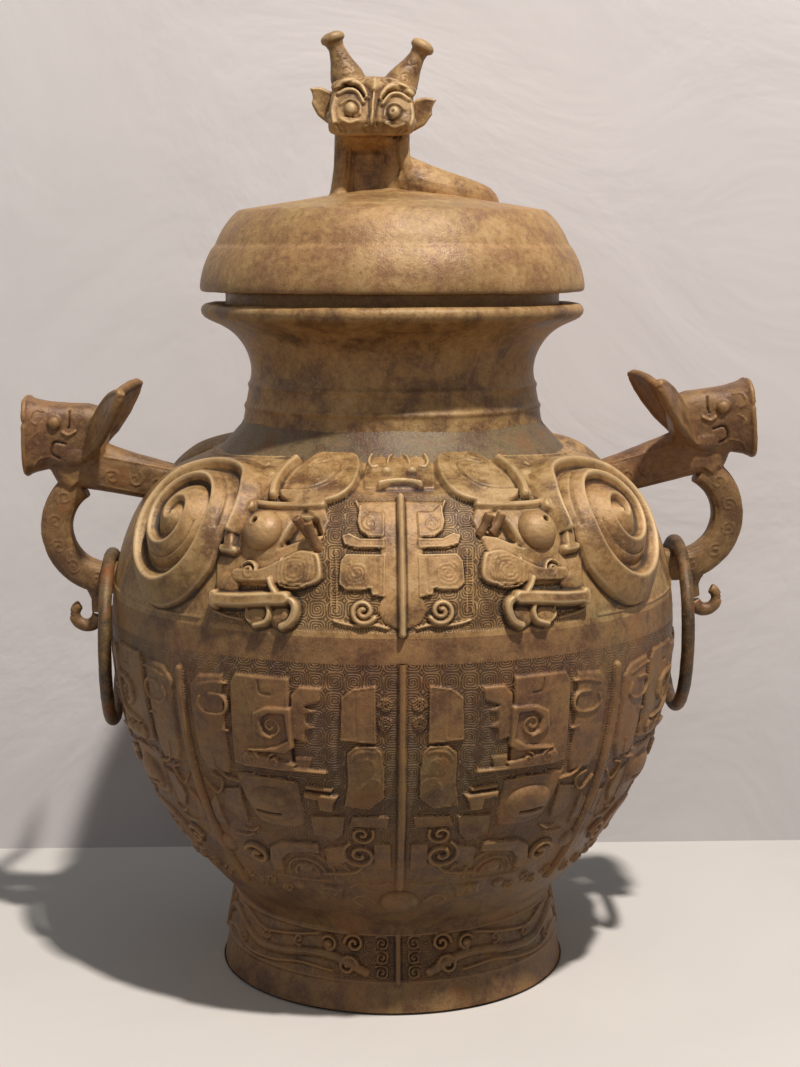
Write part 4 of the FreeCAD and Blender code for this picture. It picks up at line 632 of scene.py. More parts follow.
def wall_zone(name, relief, z_low, z_high, period, starts, width):
    """One stretch of the wall in sectors, moved out by its relief."""
    made = []
    s_low, s_high = arc_at(z_low), arc_at(z_high)
    rows = max(3, int((s_high - s_low) / MESH_STEP))
    arc = np.linspace(s_low, s_high, rows)
    z = height_at(arc)
    r = radius_at(z)
    slope_r, slope_z = np.gradient(r, arc), np.gradient(z, arc)
    size = np.hypot(slope_r, slope_z)
    out_r, out_z = slope_z / size, -slope_r / size
    for start in starts:
        columns = int(width * RAD * r.max() / MESH_STEP)
        azimuth = np.linspace(start, start + width, columns + 1)
        fold = folded(azimuth, period)
        arcs = np.broadcast_to(arc[:, None], (rows, azimuth.size))
        folds = np.broadcast_to(fold[None, :], arcs.shape)
        if relief is None:
            height = np.zeros(arcs.shape)
            lines, ground = height, height
        else:
            height = relief.sample(relief.height, folds, arcs)
            lines = relief.sample(relief.lines, folds, arcs)
            ground = relief.sample(relief.ground, folds, arcs)
        # Hollow value: the finish paints shade into the low places and rubs the high ones light
        hollow = height - blurred(height, 12)
        swell = casting_swell(azimuth, z)
        lifted = height + swell
        points = around(azimuth, r[:, None] + lifted * out_r[:, None], z[:, None] + lifted * out_z[:, None])
        piece = grid_piece(
            f"{name}_{int(start) % 360:03d}",
            points,
            {"relief": height, "hollow": hollow, "lines": lines, "ground": ground},
        )
        made.append(piece)
    return made


def casting_swell(azimuth, z):
    """Unevenness of the casting, the same for every piece that shares an edge."""
    a = azimuth[None, :] * RAD
    level = z[:, None] if z.ndim == 1 else z
    return 0.16 * ripple(110 * np.sin(a), level, 3, 60.0) + 0.14 * ripple(110 * np.cos(a), level, 5, 45.0)


def trace(corners, step):
    """Closely spaced (r, z) along straight runs and rounded bends between corners."""
    points = []
    for start, end in zip(corners[:-1], corners[1:]):
        start, end = np.array(start, float), np.array(end, float)
        count = max(1, int(np.linalg.norm(end - start) / step))
        points += [start + (end - start) * i / count for i in range(count)]
    points.append(np.array(corners[-1], float))
    return soften(np.array(points), 3)


def turned_piece(name, path, around_step, swell=0.0, seed=1):
    """A full turn of a profile, slightly uneven. The profile runs so that out is on its right."""
    columns = int(2 * math.pi * path[:, 0].max() / around_step)
    azimuth = np.arange(columns) * 360.0 / columns
    tangent = np.gradient(path, axis=0)
    tangent /= np.linalg.norm(tangent, axis=1)[:, None]
    out = np.stack([tangent[:, 1], -tangent[:, 0]], -1)
    a = azimuth[None, :] * RAD
    if swell:
        lift = swell * ripple(90 * np.sin(a), path[:, 1:], seed, 50.0)
        lift = lift + swell * ripple(90 * np.cos(a), path[:, :1], seed + 1, 34.0)
    else:
        lift = casting_swell(azimuth, path[:, 1])
    points = around(azimuth, path[:, :1] + lift * out[:, :1], path[:, 1:] + lift * out[:, 1:])
    return grid_piece(name, points, wrap=True)


# Melted pieces: closed shapes gathered, melted into one skin and then worked on


class Lump:
    """Closed shapes gathered in one list, in millimetres."""

    def __init__(self):
        self.vertices = []
        self.faces = []

    def add(self, points, faces):
        first = len(self.vertices)
        self.vertices += [tuple(p) for p in points]
        self.faces += [tuple(first + i for i in face) for face in faces]

    def sweep(self, points, sizes, power=2.0, up=(0, 0, 1), sides=32):
        """A bar of rounded section along a line; sizes are half width and half height at each point."""
        points = [Vector(p) for p in points]
        rings = []
        for i, (spot, size) in enumerate(zip(points, sizes)):
            along = (points[min(i + 1, len(points) - 1)] - points[max(i - 1, 0)]).normalized()
            side = along.cross(Vector(up))
            side = side.normalized() if side.length > 0.05 else Vector((1, 0, 0))
            rise = side.cross(along).normalized()
            for k in range(sides):
                t = 2 * math.pi * k / sides
                c, s = math.cos(t), math.sin(t)
                x = math.copysign(abs(c) ** (2 / power), c) * size[0]
                y = math.copysign(abs(s) ** (2 / power), s) * size[1]
                rings.append(spot + side * x + rise * y)
        count = len(points)
        faces = []
        for i in range(count - 1):
            for k in range(sides):
                j = (k + 1) % sides
                faces.append((i * sides + k, (i + 1) * sides + k, (i + 1) * sides + j, i * sides + j))
        faces.append(tuple(range(sides)))
        faces.append(tuple((count - 1) * sides + k for k in reversed(range(sides))))
        self.add(rings, faces)

    def rod(self, points, radii, sides=20):
        """A round bar of one radius, or of one at each point."""
        if np.isscalar(radii):
            radii = [radii] * len(points)
        self.sweep(points, [(r, r) for r in radii], sides=sides)

    def ball(self, centre, sizes):
        """An ellipsoid."""
        rows, columns = 14, 24
        points = []
        for i in range(rows + 1):
            tilt = math.pi * i / rows
            for k in range(columns):
                t = 2 * math.pi * k / columns
                x = math.sin(tilt) * math.cos(t) * sizes[0]
                y = math.sin(tilt) * math.sin(t) * sizes[1]
                points.append(Vector(centre) + Vector((x, y, math.cos(tilt) * sizes[2])))
        faces = [(i * columns + k, (i + 1) * columns + k, (i + 1) * columns + (k + 1) % columns,
                  i * columns + (k + 1) % columns) for i in range(rows) for k in range(columns)]
        self.add(points, faces)

    def slab(self, outline, origin, across, rise, thick):
        """A plate with an outline in its own plane."""
        across, rise = Vector(across).normalized(), Vector(rise).normalized()
        face = across.cross(rise).normalized()
        line = [Vector(origin) + across * p[0] + rise * p[1] for p in outline]
        count = len(line)
        points = [p + face * thick / 2 for p in line] + [p - face * thick / 2 for p in line]
        faces = [tuple(range(count)), tuple(count + k for k in reversed(range(count)))]
        faces += [(k, count + k, count + (k + 1) % count, (k + 1) % count) for k in range(count)]
        self.add(points, faces)


class Skin:
    """The melted surface, as arrays in millimetres."""

    def __init__(self, lump, voxel, passes, place=None):
        points = [place(p) if place else p for p in lump.vertices]
        mesh = bpy.data.meshes.new("lump")
        mesh.from_pydata([Vector(p) * MM for p in points], [], lump.faces)
        mesh.validate()
        obj = bpy.data.objects.new("lump", mesh)
        bpy.context.collection.objects.link(obj)
        outward(mesh)
        melt = obj.modifiers.new("melt", "REMESH")
        melt.mode = "VOXEL"
        melt.voxel_size = voxel * 1.0 * MM
        graph = bpy.context.evaluated_depsgraph_get()
        self.mesh = bpy.data.meshes.new_from_object(obj.evaluated_get(graph))
        bpy.data.objects.remove(obj)
        self.points = np.empty(len(self.mesh.vertices) * 3)
        self.mesh.vertices.foreach_get("co", self.points)
        self.points = self.points.reshape(-1, 3) / MM
        edges = np.empty(len(self.mesh.edges) * 2, int)
        self.mesh.edges.foreach_get("vertices", edges)
        self.edges = edges.reshape(-1, 2)
        self.share = np.bincount(self.edges.ravel(), minlength=len(self.points)).astype(float)
        self.raised = np.zeros(len(self.points))
        for _ in range(passes):
            self.points += 0.55 * (self.mixed(self.points) - self.points)
            self.points -= 0.57 * (self.mixed(self.points) - self.points)
        self.refresh()

    def mixed(self, values):
        """Mean of each vertex's neighbours."""
        a, b = self.edges[:, 0], self.edges[:, 1]
        if values.ndim == 1:
            total = np.bincount(a, values[b], len(values)) + np.bincount(b, values[a], len(values))
            return total / self.share
        return np.stack([self.mixed(values[:, i]) for i in range(values.shape[1])], -1)

    def refresh(self):
        """Writes the points to the mesh and reads its normals."""
        self.mesh.vertices.foreach_set("co", (self.points * MM).ravel())
        self.mesh.update()
        self.normals = np.empty(len(self.points) * 3, np.float32)
        self.mesh.vertex_normals.foreach_get("vector", self.normals)
        self.normals = self.normals.reshape(-1, 3).astype(float)

    def seen(self, right, up, depth_from=None):
        """Coordinates in a view of the skin, and how squarely each place faces it."""
        right, up = np.array(right, float), np.array(up, float)
        toward = np.cross(right, up)
        facing = ramp(self.normals @ toward, 0.12, 0.4)
        depth = self.points @ toward
        if depth_from is not None:
            facing = facing * (depth > depth_from)
        return self.points @ right, self.points @ up, facing

    def mark(self, view, line, width, height, edge=0.5):
        """Raises a bar on the skin along a line of the view, or sinks it."""
        x, y, facing = view
        line = smooth_line(line, 0.8)
        reach = width / 2 + edge
        low, high = line.min(0) - reach, line.max(0) + reach
        near = np.where((x > low[0]) & (x < high[0]) & (y > low[1]) & (y < high[1]) & (facing > 0))[0]
        if not len(near):
            return
        gap = np.full(len(near), reach * 2)
        px, py = x[near], y[near]
        for p, q in zip(line[:-1], line[1:]):
            along = q - p
            length = max(float(along @ along), 1e-9)
            t = np.clip(((px - p[0]) * along[0] + (py - p[1]) * along[1]) / length, 0, 1)
            gap = np.minimum(gap, np.hypot(px - p[0] - t * along[0], py - p[1] - t * along[1]))
        body = 1 - ramp(gap, width / 2 - edge, width / 2 + edge * 0.5)
        lift = height * body * facing[near]
        if height > 0:
            self.raised[near] = np.maximum(self.raised[near], lift)
        else:
            self.raised[near] += lift

    def push(self, view, spot, sizes, height):
        """Swells or hollows an oval patch of the view."""
        x, y, facing = view
        q = ((x - spot[0]) / sizes[0]) ** 2 + ((y - spot[1]) / sizes[1]) ** 2
        self.raised += height * np.clip(1 - q, 0, 1) * facing

    def settle(self):
        """Moves the skin by what was raised on it so far."""
        self.points += self.normals * self.raised[:, None]
        self.total = getattr(self, "total", 0) + self.raised
        self.raised = np.zeros(len(self.points))
        self.refresh()

    def piece(self, name, rough=0.12, seed=1):
        """The finished object, with the rough skin of a casting and its own hollows marked for the painted
        shade of its finish.
        """
        self.settle()
        x, y, z = self.points.T
        rumple = ripple(x + 0.6 * z, y - 0.4 * z, seed, 16.0) + ripple(y + 0.3 * x, z, seed + 7, 9.0)
        self.points += self.normals * (rough * rumple)[:, None]
        self.refresh()
        blurred_points = self.points
        for _ in range(14):
            blurred_points = self.mixed(blurred_points)
        hollow = ((self.points - blurred_points) * self.normals).sum(1)
        for layer, values in (("relief", self.total), ("hollow", hollow)):
            attribute = self.mesh.attributes.new(layer, "FLOAT", "POINT")
            attribute.data.foreach_set("value", values.astype(np.float32))
        obj = bpy.data.objects.new(name, self.mesh)
        self.mesh.name = name
        bpy.context.collection.objects.link(obj)
        return finish_mesh(obj, self.mesh)


def curl(middle, reach, shrink, step, count, start=0.0, squash=1.0):
    """Points of a spiral that winds in round a middle."""
    points = []
    for k in range(count):
        radius, angle = reach * (1 - k / shrink), k * step + start
        points.append((middle[0] + radius * math.cos(angle), middle[1] + squash * radius * math.sin(angle)))
    return points


def outward(mesh):
    """Turns all faces of closed shapes outwards."""
    work = bmesh.new()
    work.from_mesh(mesh)
    bmesh.ops.recalc_face_normals(work, faces=work.faces)
    work.to_mesh(mesh)
    work.free()


# Dragon on the lid

DRAGON_X, HEAD_LEVEL, HEAD_ROLL = -9.5, 413.0, 5.0
LID_APEX, LID_SHOULDER_HEIGHT, LID_SHOULDER_RADIUS = 377.5, 365.9, 72.0


def head_place(point):
    """From the dragon's own upright frame to the rolled head."""
    x, y, z = point
    c, s = math.cos(HEAD_ROLL * RAD), math.sin(HEAD_ROLL * RAD)
    return Vector((DRAGON_X + x * c + (z - HEAD_LEVEL) * s, y, HEAD_LEVEL - x * s + (z - HEAD_LEVEL) * c))


def lid_cone(radius):
    """Height of the lid's top at a radius."""
    return LID_APEX - (LID_APEX - LID_SHOULDER_HEIGHT) * radius / LID_SHOULDER_RADIUS


def dragon_coil_line():
    """Spine of the dragon's body and its radius, from the neck to the tail."""
    first, turn, near, far = 62.0, 185.0, 6.0, 54.0
    thick, thin, lift = 11.0, 1.6, 6.0
    spots, radii = [], []
    for i in range(40):
        share = i / 39
        left = 1 - share
        azimuth = (first + share * turn) * RAD
        radius = near + (far - near) * (1 - left ** 6)
        bar = thin + (thick - thin) * left ** 0.8
        level = lid_cone(radius) - 0.2 * bar + lift * left ** 12
        spots.append((radius * math.sin(azimuth), -radius * math.cos(azimuth), level))
        radii.append(bar)
    return spots, radii


def dragon():
    """Upright neck, horned head and the body that lies along the lid."""
    lump = Lump()
    spots, radii = dragon_coil_line()
    lump.rod(spots, radii)
    # Neck
    levels = (364, 369, 376, 385, 396, 406)
    neck = [(22.5, 15.4), (21.6, 14.8), (19.6, 13.4), (18.2, 12.2), (17.8, 11.6), (17.6, 11.2)]
    lump.sweep([(DRAGON_X, 0, z) for z in levels], neck, 3.2, up=(0, 1, 0))
    # Ridge down the right side of the throat, and the foot bulges
    lump.rod([(4.4, -10, 399), (5.2, -11.6, 390), (7.4, -12, 380), (10.6, -11.6, 371), (13, -10, 366)],
             [2.6, 2.8, 3.0, 4.2, 4.6])
    lump.ball((-27, -5, 368), (6.5, 9, 5.5))
    lump.rod([(8, -8, 372), (17, -9, 370.4), (27, -6, 370), (38, 0, 369.4)], [5, 3.4, 3.0, 2.0])
    # Head: a plate that slopes back from the lip to the brow
    places = [(-21.6, 18.4, 402.6, 3.4), (-19.4, 19.8, 403.6, 5.2), (-15, 20.0, 406.8, 8.6),
              (-10, 19.6, 410.4, 12.2), (-6, 19.2, 412.6, 14.4), (0, 18.8, 413.6, 14.2),
              (7, 17.4, 413.4, 12.6), (12.4, 14.4, 413, 9.8)]
    face = [head_place((0, y, z)) for y, _, z, _ in places]
    lump.sweep(face, [(w, h) for _, w, _, h in places], 4.2)
    for side in (-1, 1):
        lump.ball(head_place((side * 10.6, -9.4, 421.2)), (9.4, 6.0, 4.4))
        lump.ball(head_place((side * 15.6, -14.6, 406.8)), (5.4, 6.0, 4.2))
        bottle_horn(lump, side)
        dragon_ear(lump, side)
    lump.ball(head_place((0, -17.6, 404.6)), (9.0, 5.0, 3.4))
    skin = Skin(lump, 0.62, 5)
    dragon_face(skin)
    return skin.piece("dragon", 0.12, 21)


def bottle_horn(lump, side):
    """Waisted horn with a mushroom cap, leaning out."""
    lean = 25.5 * RAD * side
    up = Vector((math.sin(lean), 0, math.cos(lean)))
    foot = Vector((side * 10.9, 0, 422.0))
    shape = [(-4, 7.4), (0, 7.9), (3, 8.1), (6, 7.7), (10, 6.3), (14, 4.9), (18, 3.9), (21.4, 3.5),
             (22.0, 5.0), (22.8, 5.7), (24.4, 5.8), (25.6, 5.0), (26.6, 3.0)]
    lump.rod([head_place(foot + up * t) for t, _ in shape], [r for _, r in shape], 28)
    lump.rod([head_place(foot + up * t) for t in (20.0, 21.0)], 4.1)


def dragon_ear(lump, side):
    """Pointed leaf ear with a rim."""
    across = head_place((side, 0, 0)) - head_place((0, 0, 0))
    rise = head_place((0, 0, 1)) - head_place((0, 0, 0))
    foot = head_place((side * 16, -3, 405.2))
    outline = [(0, 0), (4, -0.6), (8.4, 2.6), (11.4, 7.4), (13.2, 14.6), (10.4, 14.8), (6, 13.0), (2.4, 12.2),
               (-1, 11)]
    lump.slab(outline, foot, across, rise, 2.4)
    rim = [(3, -0.2), (8.2, 3.2), (11.2, 8), (12.6, 13.8), (9, 14.0), (4, 12.4)]
    lump.rod([foot + across * u + rise * v for u, v in rim], 1.45, 12)


def dragon_face(skin):
    """Brows, eyes, forehead diamond and muzzle, drawn on the face as seen from the front."""
    c, s = math.cos(HEAD_ROLL * RAD), math.sin(HEAD_ROLL * RAD)
    right, up = np.array((c, 0, -s)), np.array((s, 0, c))
    x, y, facing = skin.seen(right, up, depth_from=3.0)
    middle = head_place((0, 0, HEAD_LEVEL))
    x = x - float(np.dot(right, middle))
    y = y - float(np.dot(up, middle)) + HEAD_LEVEL
    head = (x, y, facing * (y > 397.5) * (np.abs(x) < 21))
    for side in (-1, 1):
        def mirrored(points):
            return [(side * px, py) for px, py in points]

        # Brow: two bands with a slit between them
        skin.mark(head, mirrored([(3.2, 416.6), (5.4, 420.6), (9.4, 423.0), (14, 422.4), (17.2, 419.6)]),
                  2.2, 1.7)
        skin.mark(head, mirrored([(4.4, 413.8), (7.6, 418.2), (12, 419.0), (16, 416.8)]), 1.8, 1.5)
        skin.mark(head, mirrored([(4.2, 416.6), (8, 420.6), (12.4, 420.9), (16.2, 418.6)]), 0.9, -2.4, 0.3)
        skin.mark(head, mirrored([(2.2, 424.2), (6, 426.0), (11, 425.6)]), 1.0, 0.8)
        # Eye with its socket
        skin.push(head, (side * 10.0, 410.0), (5.6, 4.6), -1.5)
        skin.mark(head, mirrored([(5.6, 408.4), (5.8, 411.6), (8.0, 414.2), (11.6, 414.4), (14.8, 412.0)]),
                  1.3, 1.1)
        skin.mark(head, mirrored([(6.6, 405.4), (10.4, 404.2), (14.6, 405.6)]), 1.4, 0.9)
        skin.mark(head, mirrored([(17.4, 415), (18.4, 409), (17.2, 403.6)]), 1.6, 0.9)
        for reach in (1.5, 4.0):
            skin.mark(head, mirrored([(15.2 - reach, 399.6), (16.4 - reach, 401.8), (18 - reach, 403.0)]),
                      0.9, -0.6, 0.3)
    skin.mark(head, [(0, 419.6), (0, 412), (0, 404.4)], 1.1, 1.7, 0.4)
    skin.mark(head, [(-2.6, 417.6), (-1.6, 410), (-2.4, 404)], 1.0, -0.8, 0.4)
    skin.mark(head, [(2.6, 417.6), (1.6, 410), (2.4, 404)], 1.0, -0.8, 0.4)
    diamond = np.clip(1 - np.abs(x) / 4.9 - np.abs(y - 422.9) / 4.0, 0, 1)
    skin.raised += (2.4 * diamond + 0.9 * (diamond > 0)) * head[2]
    skin.settle()
    for side in (-1, 1):
        q = np.hypot(x - side * 10.0, y - 410.4)
        skin.raised += 2.7 * np.sqrt(np.clip(1 - (q / 3.1) ** 2, 0, 1)) * (head[2] > 0)
    skin.settle()
    pupil = np.hypot(x - 9.2, y - 410.2)
    skin.raised -= 0.8 * (1 - ramp(pupil, 0.4, 1.0)) * (head[2] > 0)
    # Hollow throat between the two sides of the neck
    front = skin.seen((1, 0, 0), (0, 0, 1), depth_from=4.0)
    fx, fy, facing = front
    cover = ramp(fx, -29, -19) * (1 - ramp(fx, -9, 4.0)) * ramp(fy, 362, 378) * (1 - ramp(fy, 392, 400))
    skin.raised -= 8.5 * cover * facing
    # Worn lines on the horns
    for side in (-1, 1):
        lean = 25.5 * RAD * side
        foot = (side * 10.9, 422.0)
        rise, across = (math.sin(lean), math.cos(lean)), (math.cos(lean), -math.sin(lean))

        def on_horn(points):
            return [(foot[0] + across[0] * u + rise[0] * v, foot[1] + across[1] * u + rise[1] * v)
                    for u, v in points]

        whole = (x, y, facing * (y > 421))
        skin.mark(whole, on_horn(curl((0, 6.4), 2.6, 13, 0.9, 11)), 0.7, -0.55, 0.3)
        skin.mark(whole, on_horn([(-4.5, 9.5), (-2.2, 12.5), (2.2, 12.5), (4.5, 9.5)]), 0.7, -0.5, 0.3)
        skin.mark(whole, on_horn([(-2.6, 16), (0, 13.6), (2.6, 16)]), 0.6, -0.45, 0.3)
        skin.mark(whole, on_horn([(-7.4, 1.2), (0, 0.4), (7.4, 1.2)]), 1.0, -0.7, 0.4)


# Handles

HANDLE_ROOT = (100.0, 234.5)
RIGHT_TILT, RIGHT_RISE = 4.5, 2.0
LOOP_MIDDLE, LOOP_RADIUS = (137, 215), 25


def handle_place(side):
    """From a handle's frame (out from the axis, back, up) to the jar's."""
    def place(point):
        u, y, z = point
        if side < 0:
            return Vector((-u, y, z))
        c, s = math.cos(RIGHT_TILT * RAD), math.sin(RIGHT_TILT * RAD)
        du, dz = u - HANDLE_ROOT[0], z - HANDLE_ROOT[1]
        return Vector((HANDLE_ROOT[0] + du * c - dz * s, y, HANDLE_ROOT[1] + du * s + dz * c + RIGHT_RISE))
    return place


def on_loop(reach, degrees):
    """A place round the middle of a handle's C-loop, out and up."""
    return LOOP_MIDDLE[0] + reach * math.cos(degrees * RAD), LOOP_MIDDLE[1] + reach * math.sin(degrees * RAD)


def handle(name, side):
    """Arm, loop, spur and beast head with its ears, cast in one."""
    lump = Lump()
    arm = [(96, 0, 233.2), (104, 0, 235.4), (116, 0, 238.4), (130, 0, 241.8), (143, 0, 245), (152, 0, 247.4)]
    sizes = [(9.2, 9.4), (9.0, 9.3), (9.0, 9.6), (9.3, 10.4), (9.8, 11.6), (10, 12)]
    lump.sweep(arm, sizes, 3.4)
    loop = []
    for degrees in range(58, -131, -7):
        u, z = on_loop(LOOP_RADIUS, degrees)
        loop.append((u, 0, z))
    lump.sweep(loop, [(7.5, 7.7)] * len(loop), 3.2, up=(0, 1, 0))
    neck = [(150, 0, 238), (154, 0, 243), (157, 0, 249)]
    lump.sweep(neck, [(9.0, 9.4)] * 3, 3.0, up=(0, 1, 0))
    beast_head(lump)
    for face in (-1, 1):
        handle_ear(lump, face)
    spur(lump)
    skin = Skin(lump, 0.6, 4, handle_place(side))
    for face in (-1, 1):
        side_view(skin, side, face)
    return skin.piece(name, 0.13, 40 + side)


def beast_head(lump):
    """Deer-like head that flares to a flat, dished muzzle."""
    places = [(137, 9.4, 257, 12.4), (141, 11.2, 257.4, 15.6), (148, 12.0, 258.6, 16.2),
              (156, 12.3, 259.2, 15.8), (164, 13.2, 259.6, 16.0), (170, 14.8, 259.6, 17.2),
              (175, 16.3, 259.5, 19.0)]
    lump.sweep([(u, 0, z) for u, _, z, _ in places], [(w, h) for _, w, _, h in places], 3.6)
    # Rim round the dish
    rim = []
    for k in range(49):
        t = 2 * math.pi * k / 48
        c, s = math.cos(t), math.sin(t)
        across = 15.2 * math.copysign(abs(c) ** 0.55, c)
        rim.append((174.4, across, 259.5 + 17.8 * math.copysign(abs(s) ** 0.55, s)))
    lump.rod(rim, 1.4, 10)
    for face in (-1, 1):
        lump.ball((160.6, face * 12.2, 266.4), (3.5, 2.9, 3.5))
        lump.ball((151.4, face * 9.6, 250.8), (7.5, 3.4, 5.0))


def handle_ear(lump, face):
    """Broad leaf that stands up and out beside the head, with a thick rim."""
    sweep_back, lean = 21 * RAD, 16 * RAD
    across = Vector((-math.sin(sweep_back), face * math.cos(sweep_back), 0))
    rise = Vector((-math.sin(lean), 0, math.cos(lean)))
    foot = Vector((147, face * 9, 249.5))
    outline = [(-2, -2), (-2, 12), (3, 21), (10, 28.6), (19, 33.2), (28, 35.2), (34, 35.4), (35.4, 33.6),
               (33.6, 26), (29, 18), (22.6, 10.6), (14, 4.6), (6, 0)]
    lump.slab(outline, foot, across, rise, 3.8)
    rim = smooth_line([(1, 13), (4.4, 20.6), (11, 27.2), (19.6, 31.6), (28, 33.6), (33.2, 33.4), (31.6, 26.6),
                       (27.6, 19.4), (21.4, 12.4), (13.4, 6.6)], 2.0)
    lump.rod([foot + across * u + rise * v for u, v in rim], 2.35, 12)


def spur(lump):
    """Short bar under the loop that ends in a curl."""
    lump.sweep([(148, 0, 194), (143.6, 0, 187), (141.6, 0, 180), (142.4, 0, 173.4)],
               [(6.0, 7.6), (5.4, 6.4), (4.6, 4.8), (4.0, 3.8)], 2.6, up=(0, 1, 0))
    hook = []
    for degrees in range(190, 420, 12):
        reach = 6.4 - 0.006 * (degrees - 190)
        hook.append((149.2 + reach * math.cos(degrees * RAD), 0, 172.6 + reach * math.sin(degrees * RAD)))
    lump.rod(hook, list(np.linspace(3.7, 2.5, len(hook))), 14)
    lump.rod([(138, 0, 190), (141, 0, 182), (140.6, 0, 172), (139.5, 0, 169)], [3.2, 3.4, 3.0, 1.2])


def side_view(skin, side, face):
    """Line work cast on a handle's flank, drawn as seen from the front or from the back."""
    x, y, facing = skin.seen((-face, 0, 0), (0, 0, 1), depth_from=4.0)
    outwards = side * x * -face
    if side > 0:
        c, s = math.cos(RIGHT_TILT * RAD), math.sin(RIGHT_TILT * RAD)
        du, dz = outwards - HANDLE_ROOT[0], y - HANDLE_ROOT[1] - RIGHT_RISE
        outwards, y = HANDLE_ROOT[0] + du * c + dz * s, HANDLE_ROOT[1] - du * s + dz * c
    view = (outwards, y, facing)
    # Cheek and mouth
    skin.mark(view, [(153.4, 272), (153.2, 266), (154.4, 262)], 0.9, -1.5, 0.3)
    skin.mark(view, [(150.6, 262.4), (154, 260.6), (156.6, 262.0)], 1.5, 1.1)
    skin.mark(view, [(158.2, 249.6), (161.8, 252.0), (160.4, 257.2), (155.2, 256.4)], 1.3, -1.0, 0.4)
    skin.mark(view, [(165.6, 272.2), (169.6, 272.4), (171.4, 268.4), (168.6, 265.8)], 0.8, 0.45, 0.3)
    skin.mark(view, [(167.4, 262.6), (170.6, 259.4), (167.8, 256.2)], 0.8, 0.45, 0.3)
    skin.mark(view, [(163.4, 250.6), (168, 249.2), (170.4, 245.6)], 0.8, 0.45, 0.3)
    # Scrolls on the arm
    for du, dv, turn in ((134, 240.2, 0), (123, 239.2, 2), (112.4, 236.6, 4)):
        skin.mark(view, curl((du, dv), 4.2, 16, 0.62, 14, turn, 4.0 / 4.2), 0.75, 0.5, 0.3)
    skin.mark(view, [(106, 243.6), (116, 245.6), (128, 248.0), (138, 250.0)], 0.8, 0.45, 0.3)
    skin.mark(view, [(107, 230.0), (118, 232.0), (130, 234.2), (140, 236.6)], 0.8, 0.45, 0.3)
    # Scrolls round the loop
    for degrees in (36, 8, -20, -48, -78):
        middle = on_loop(LOOP_RADIUS, degrees)
        skin.mark(view, curl(middle, 3.8, 15, 0.65, 13, -degrees * RAD), 0.75, 0.5, 0.3)
    for reach in (18.6, 31.2):
        arc = [on_loop(reach, degrees) for degrees in range(50, -111, -10)]
        skin.mark(view, arc, 0.7, 0.4, 0.3)
    skin.mark(view, [(146.4, 187.6), (143.4, 184.2), (146.4, 181.2), (147.4, 184.4)], 0.8, 0.45, 0.3)


RING_RADIUS, RING_WIRE = 40.3, 3.2


def loose_ring(name, middle, turn):
    """A ring of round bar, worn and lumpy, hanging in a plane that faces sideways."""
    around_count, across_count = ((520, 40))
    t = np.linspace(0, 2 * math.pi, around_count, endpoint=False)[:, None]
    p = np.linspace(0, 2 * math.pi, across_count, endpoint=False)[None, :]
    lumps = ripple(40 * np.cos(t) + 2 * np.cos(p), 40 * np.sin(t) + 2 * np.sin(p), 61, 9.0)
    bar = RING_WIRE - 0.1 + 0.1 * lumps
    reach = RING_RADIUS + bar * np.cos(p)
    across = bar * np.sin(p) + 0 * reach
    c, s = math.cos(turn * RAD), math.sin(turn * RAD)
    y, z = reach * np.cos(t), reach * np.sin(t)
    points = np.stack([middle[0] + across * c - y * s, middle[1] + across * s + y * c, middle[2] + z], -1)
    points = np.concatenate([points, points[:1]], 0)
    return grid_piece(name, points, {"hollow": 0.25 * np.concatenate([lumps, lumps[:1]], 0)}, wrap=True)


TIPPING_MIDDLE, TIPPING_REACH, TIPPING_RISE = (118, 103), 25.5, 21.25


def tipping_handle():
    """Small loop with a beast's head, low on the back."""
    lump = Lump()
    middle_y, middle_z = TIPPING_MIDDLE
    loop = [(0, middle_y + TIPPING_REACH * math.cos(t * RAD), middle_z + TIPPING_RISE * math.sin(t * RAD))
            for t in range(122, -125, -8)]
    lump.rod(loop, 5.5, 24)
    places = [(116, 9.0, 8.4), (124, 12.0, 9.6), (132, 12.6, 9.8), (140, 11.0, 8.6), (147, 9.6, 7.2),
              (150.2, 7.2, 5.4)]
    lump.sweep([(0, y, 124) for y, _, _ in places], [(w, h) for _, w, h in places], 3.0)
    for side in (-1, 1):
        lump.ball((side * 7.4, 137.5, 131.6), (3.4, 3.6, 3.0))
        lump.ball((side * 6.0, 147.0, 125.4), (2.8, 2.6, 2.2))
        lump.slab([(0, 0), (5, 1), (7.6, 4.4), (7.2, 8), (3, 7.4), (0, 5)], (side * 7.0, 128.5, 126.6),
                  (side, -0.3, 0), (0, -0.25, 1), 2.6)
    skin = Skin(lump, 0.6, 4)
    back = skin.seen((-1, 0, 0), (0, 0, 1), depth_from=128.0)
    for side in (-1, 1):
        skin.mark(back, [(side * 3, 129.4), (side * 6, 131.6), (side * 10.4, 130.4)], 1.3, 1.0)
        skin.mark(back, [(side * 2.6, 121.4), (side * 5.4, 122.6), (side * 8.2, 121.2)], 1.0, -0.8, 0.4)
    skin.mark(back, [(0, 132.6), (0, 126), (0, 120.6)], 1.0, 0.9)
    skin.mark(back, [(-8, 118.4), (0, 117.0), (8, 118.4)], 1.2, -1.2, 0.4)
    for degrees in (30, -10, -50):
        middle = (middle_y + TIPPING_REACH * math.cos(degrees * RAD), middle_z + 21 * math.sin(degrees * RAD))
        for look in (-1, 1):
            x, y, facing = skin.seen((0, look, 0), (0, 0, 1))
            skin.mark((look * x, y, facing), curl(middle, 3.0, 14, 0.7, 12), 0.7, 0.4, 0.3)
    return skin.piece("tipping_handle", 0.1, 55)


# Eyes and casting pegs of the two masks

EYE_SPOT, EYE_RADIUS, EYE_PROUD, PUPIL_RADIUS = (28.4, 227.4), 9.2, 7.6, 1.7


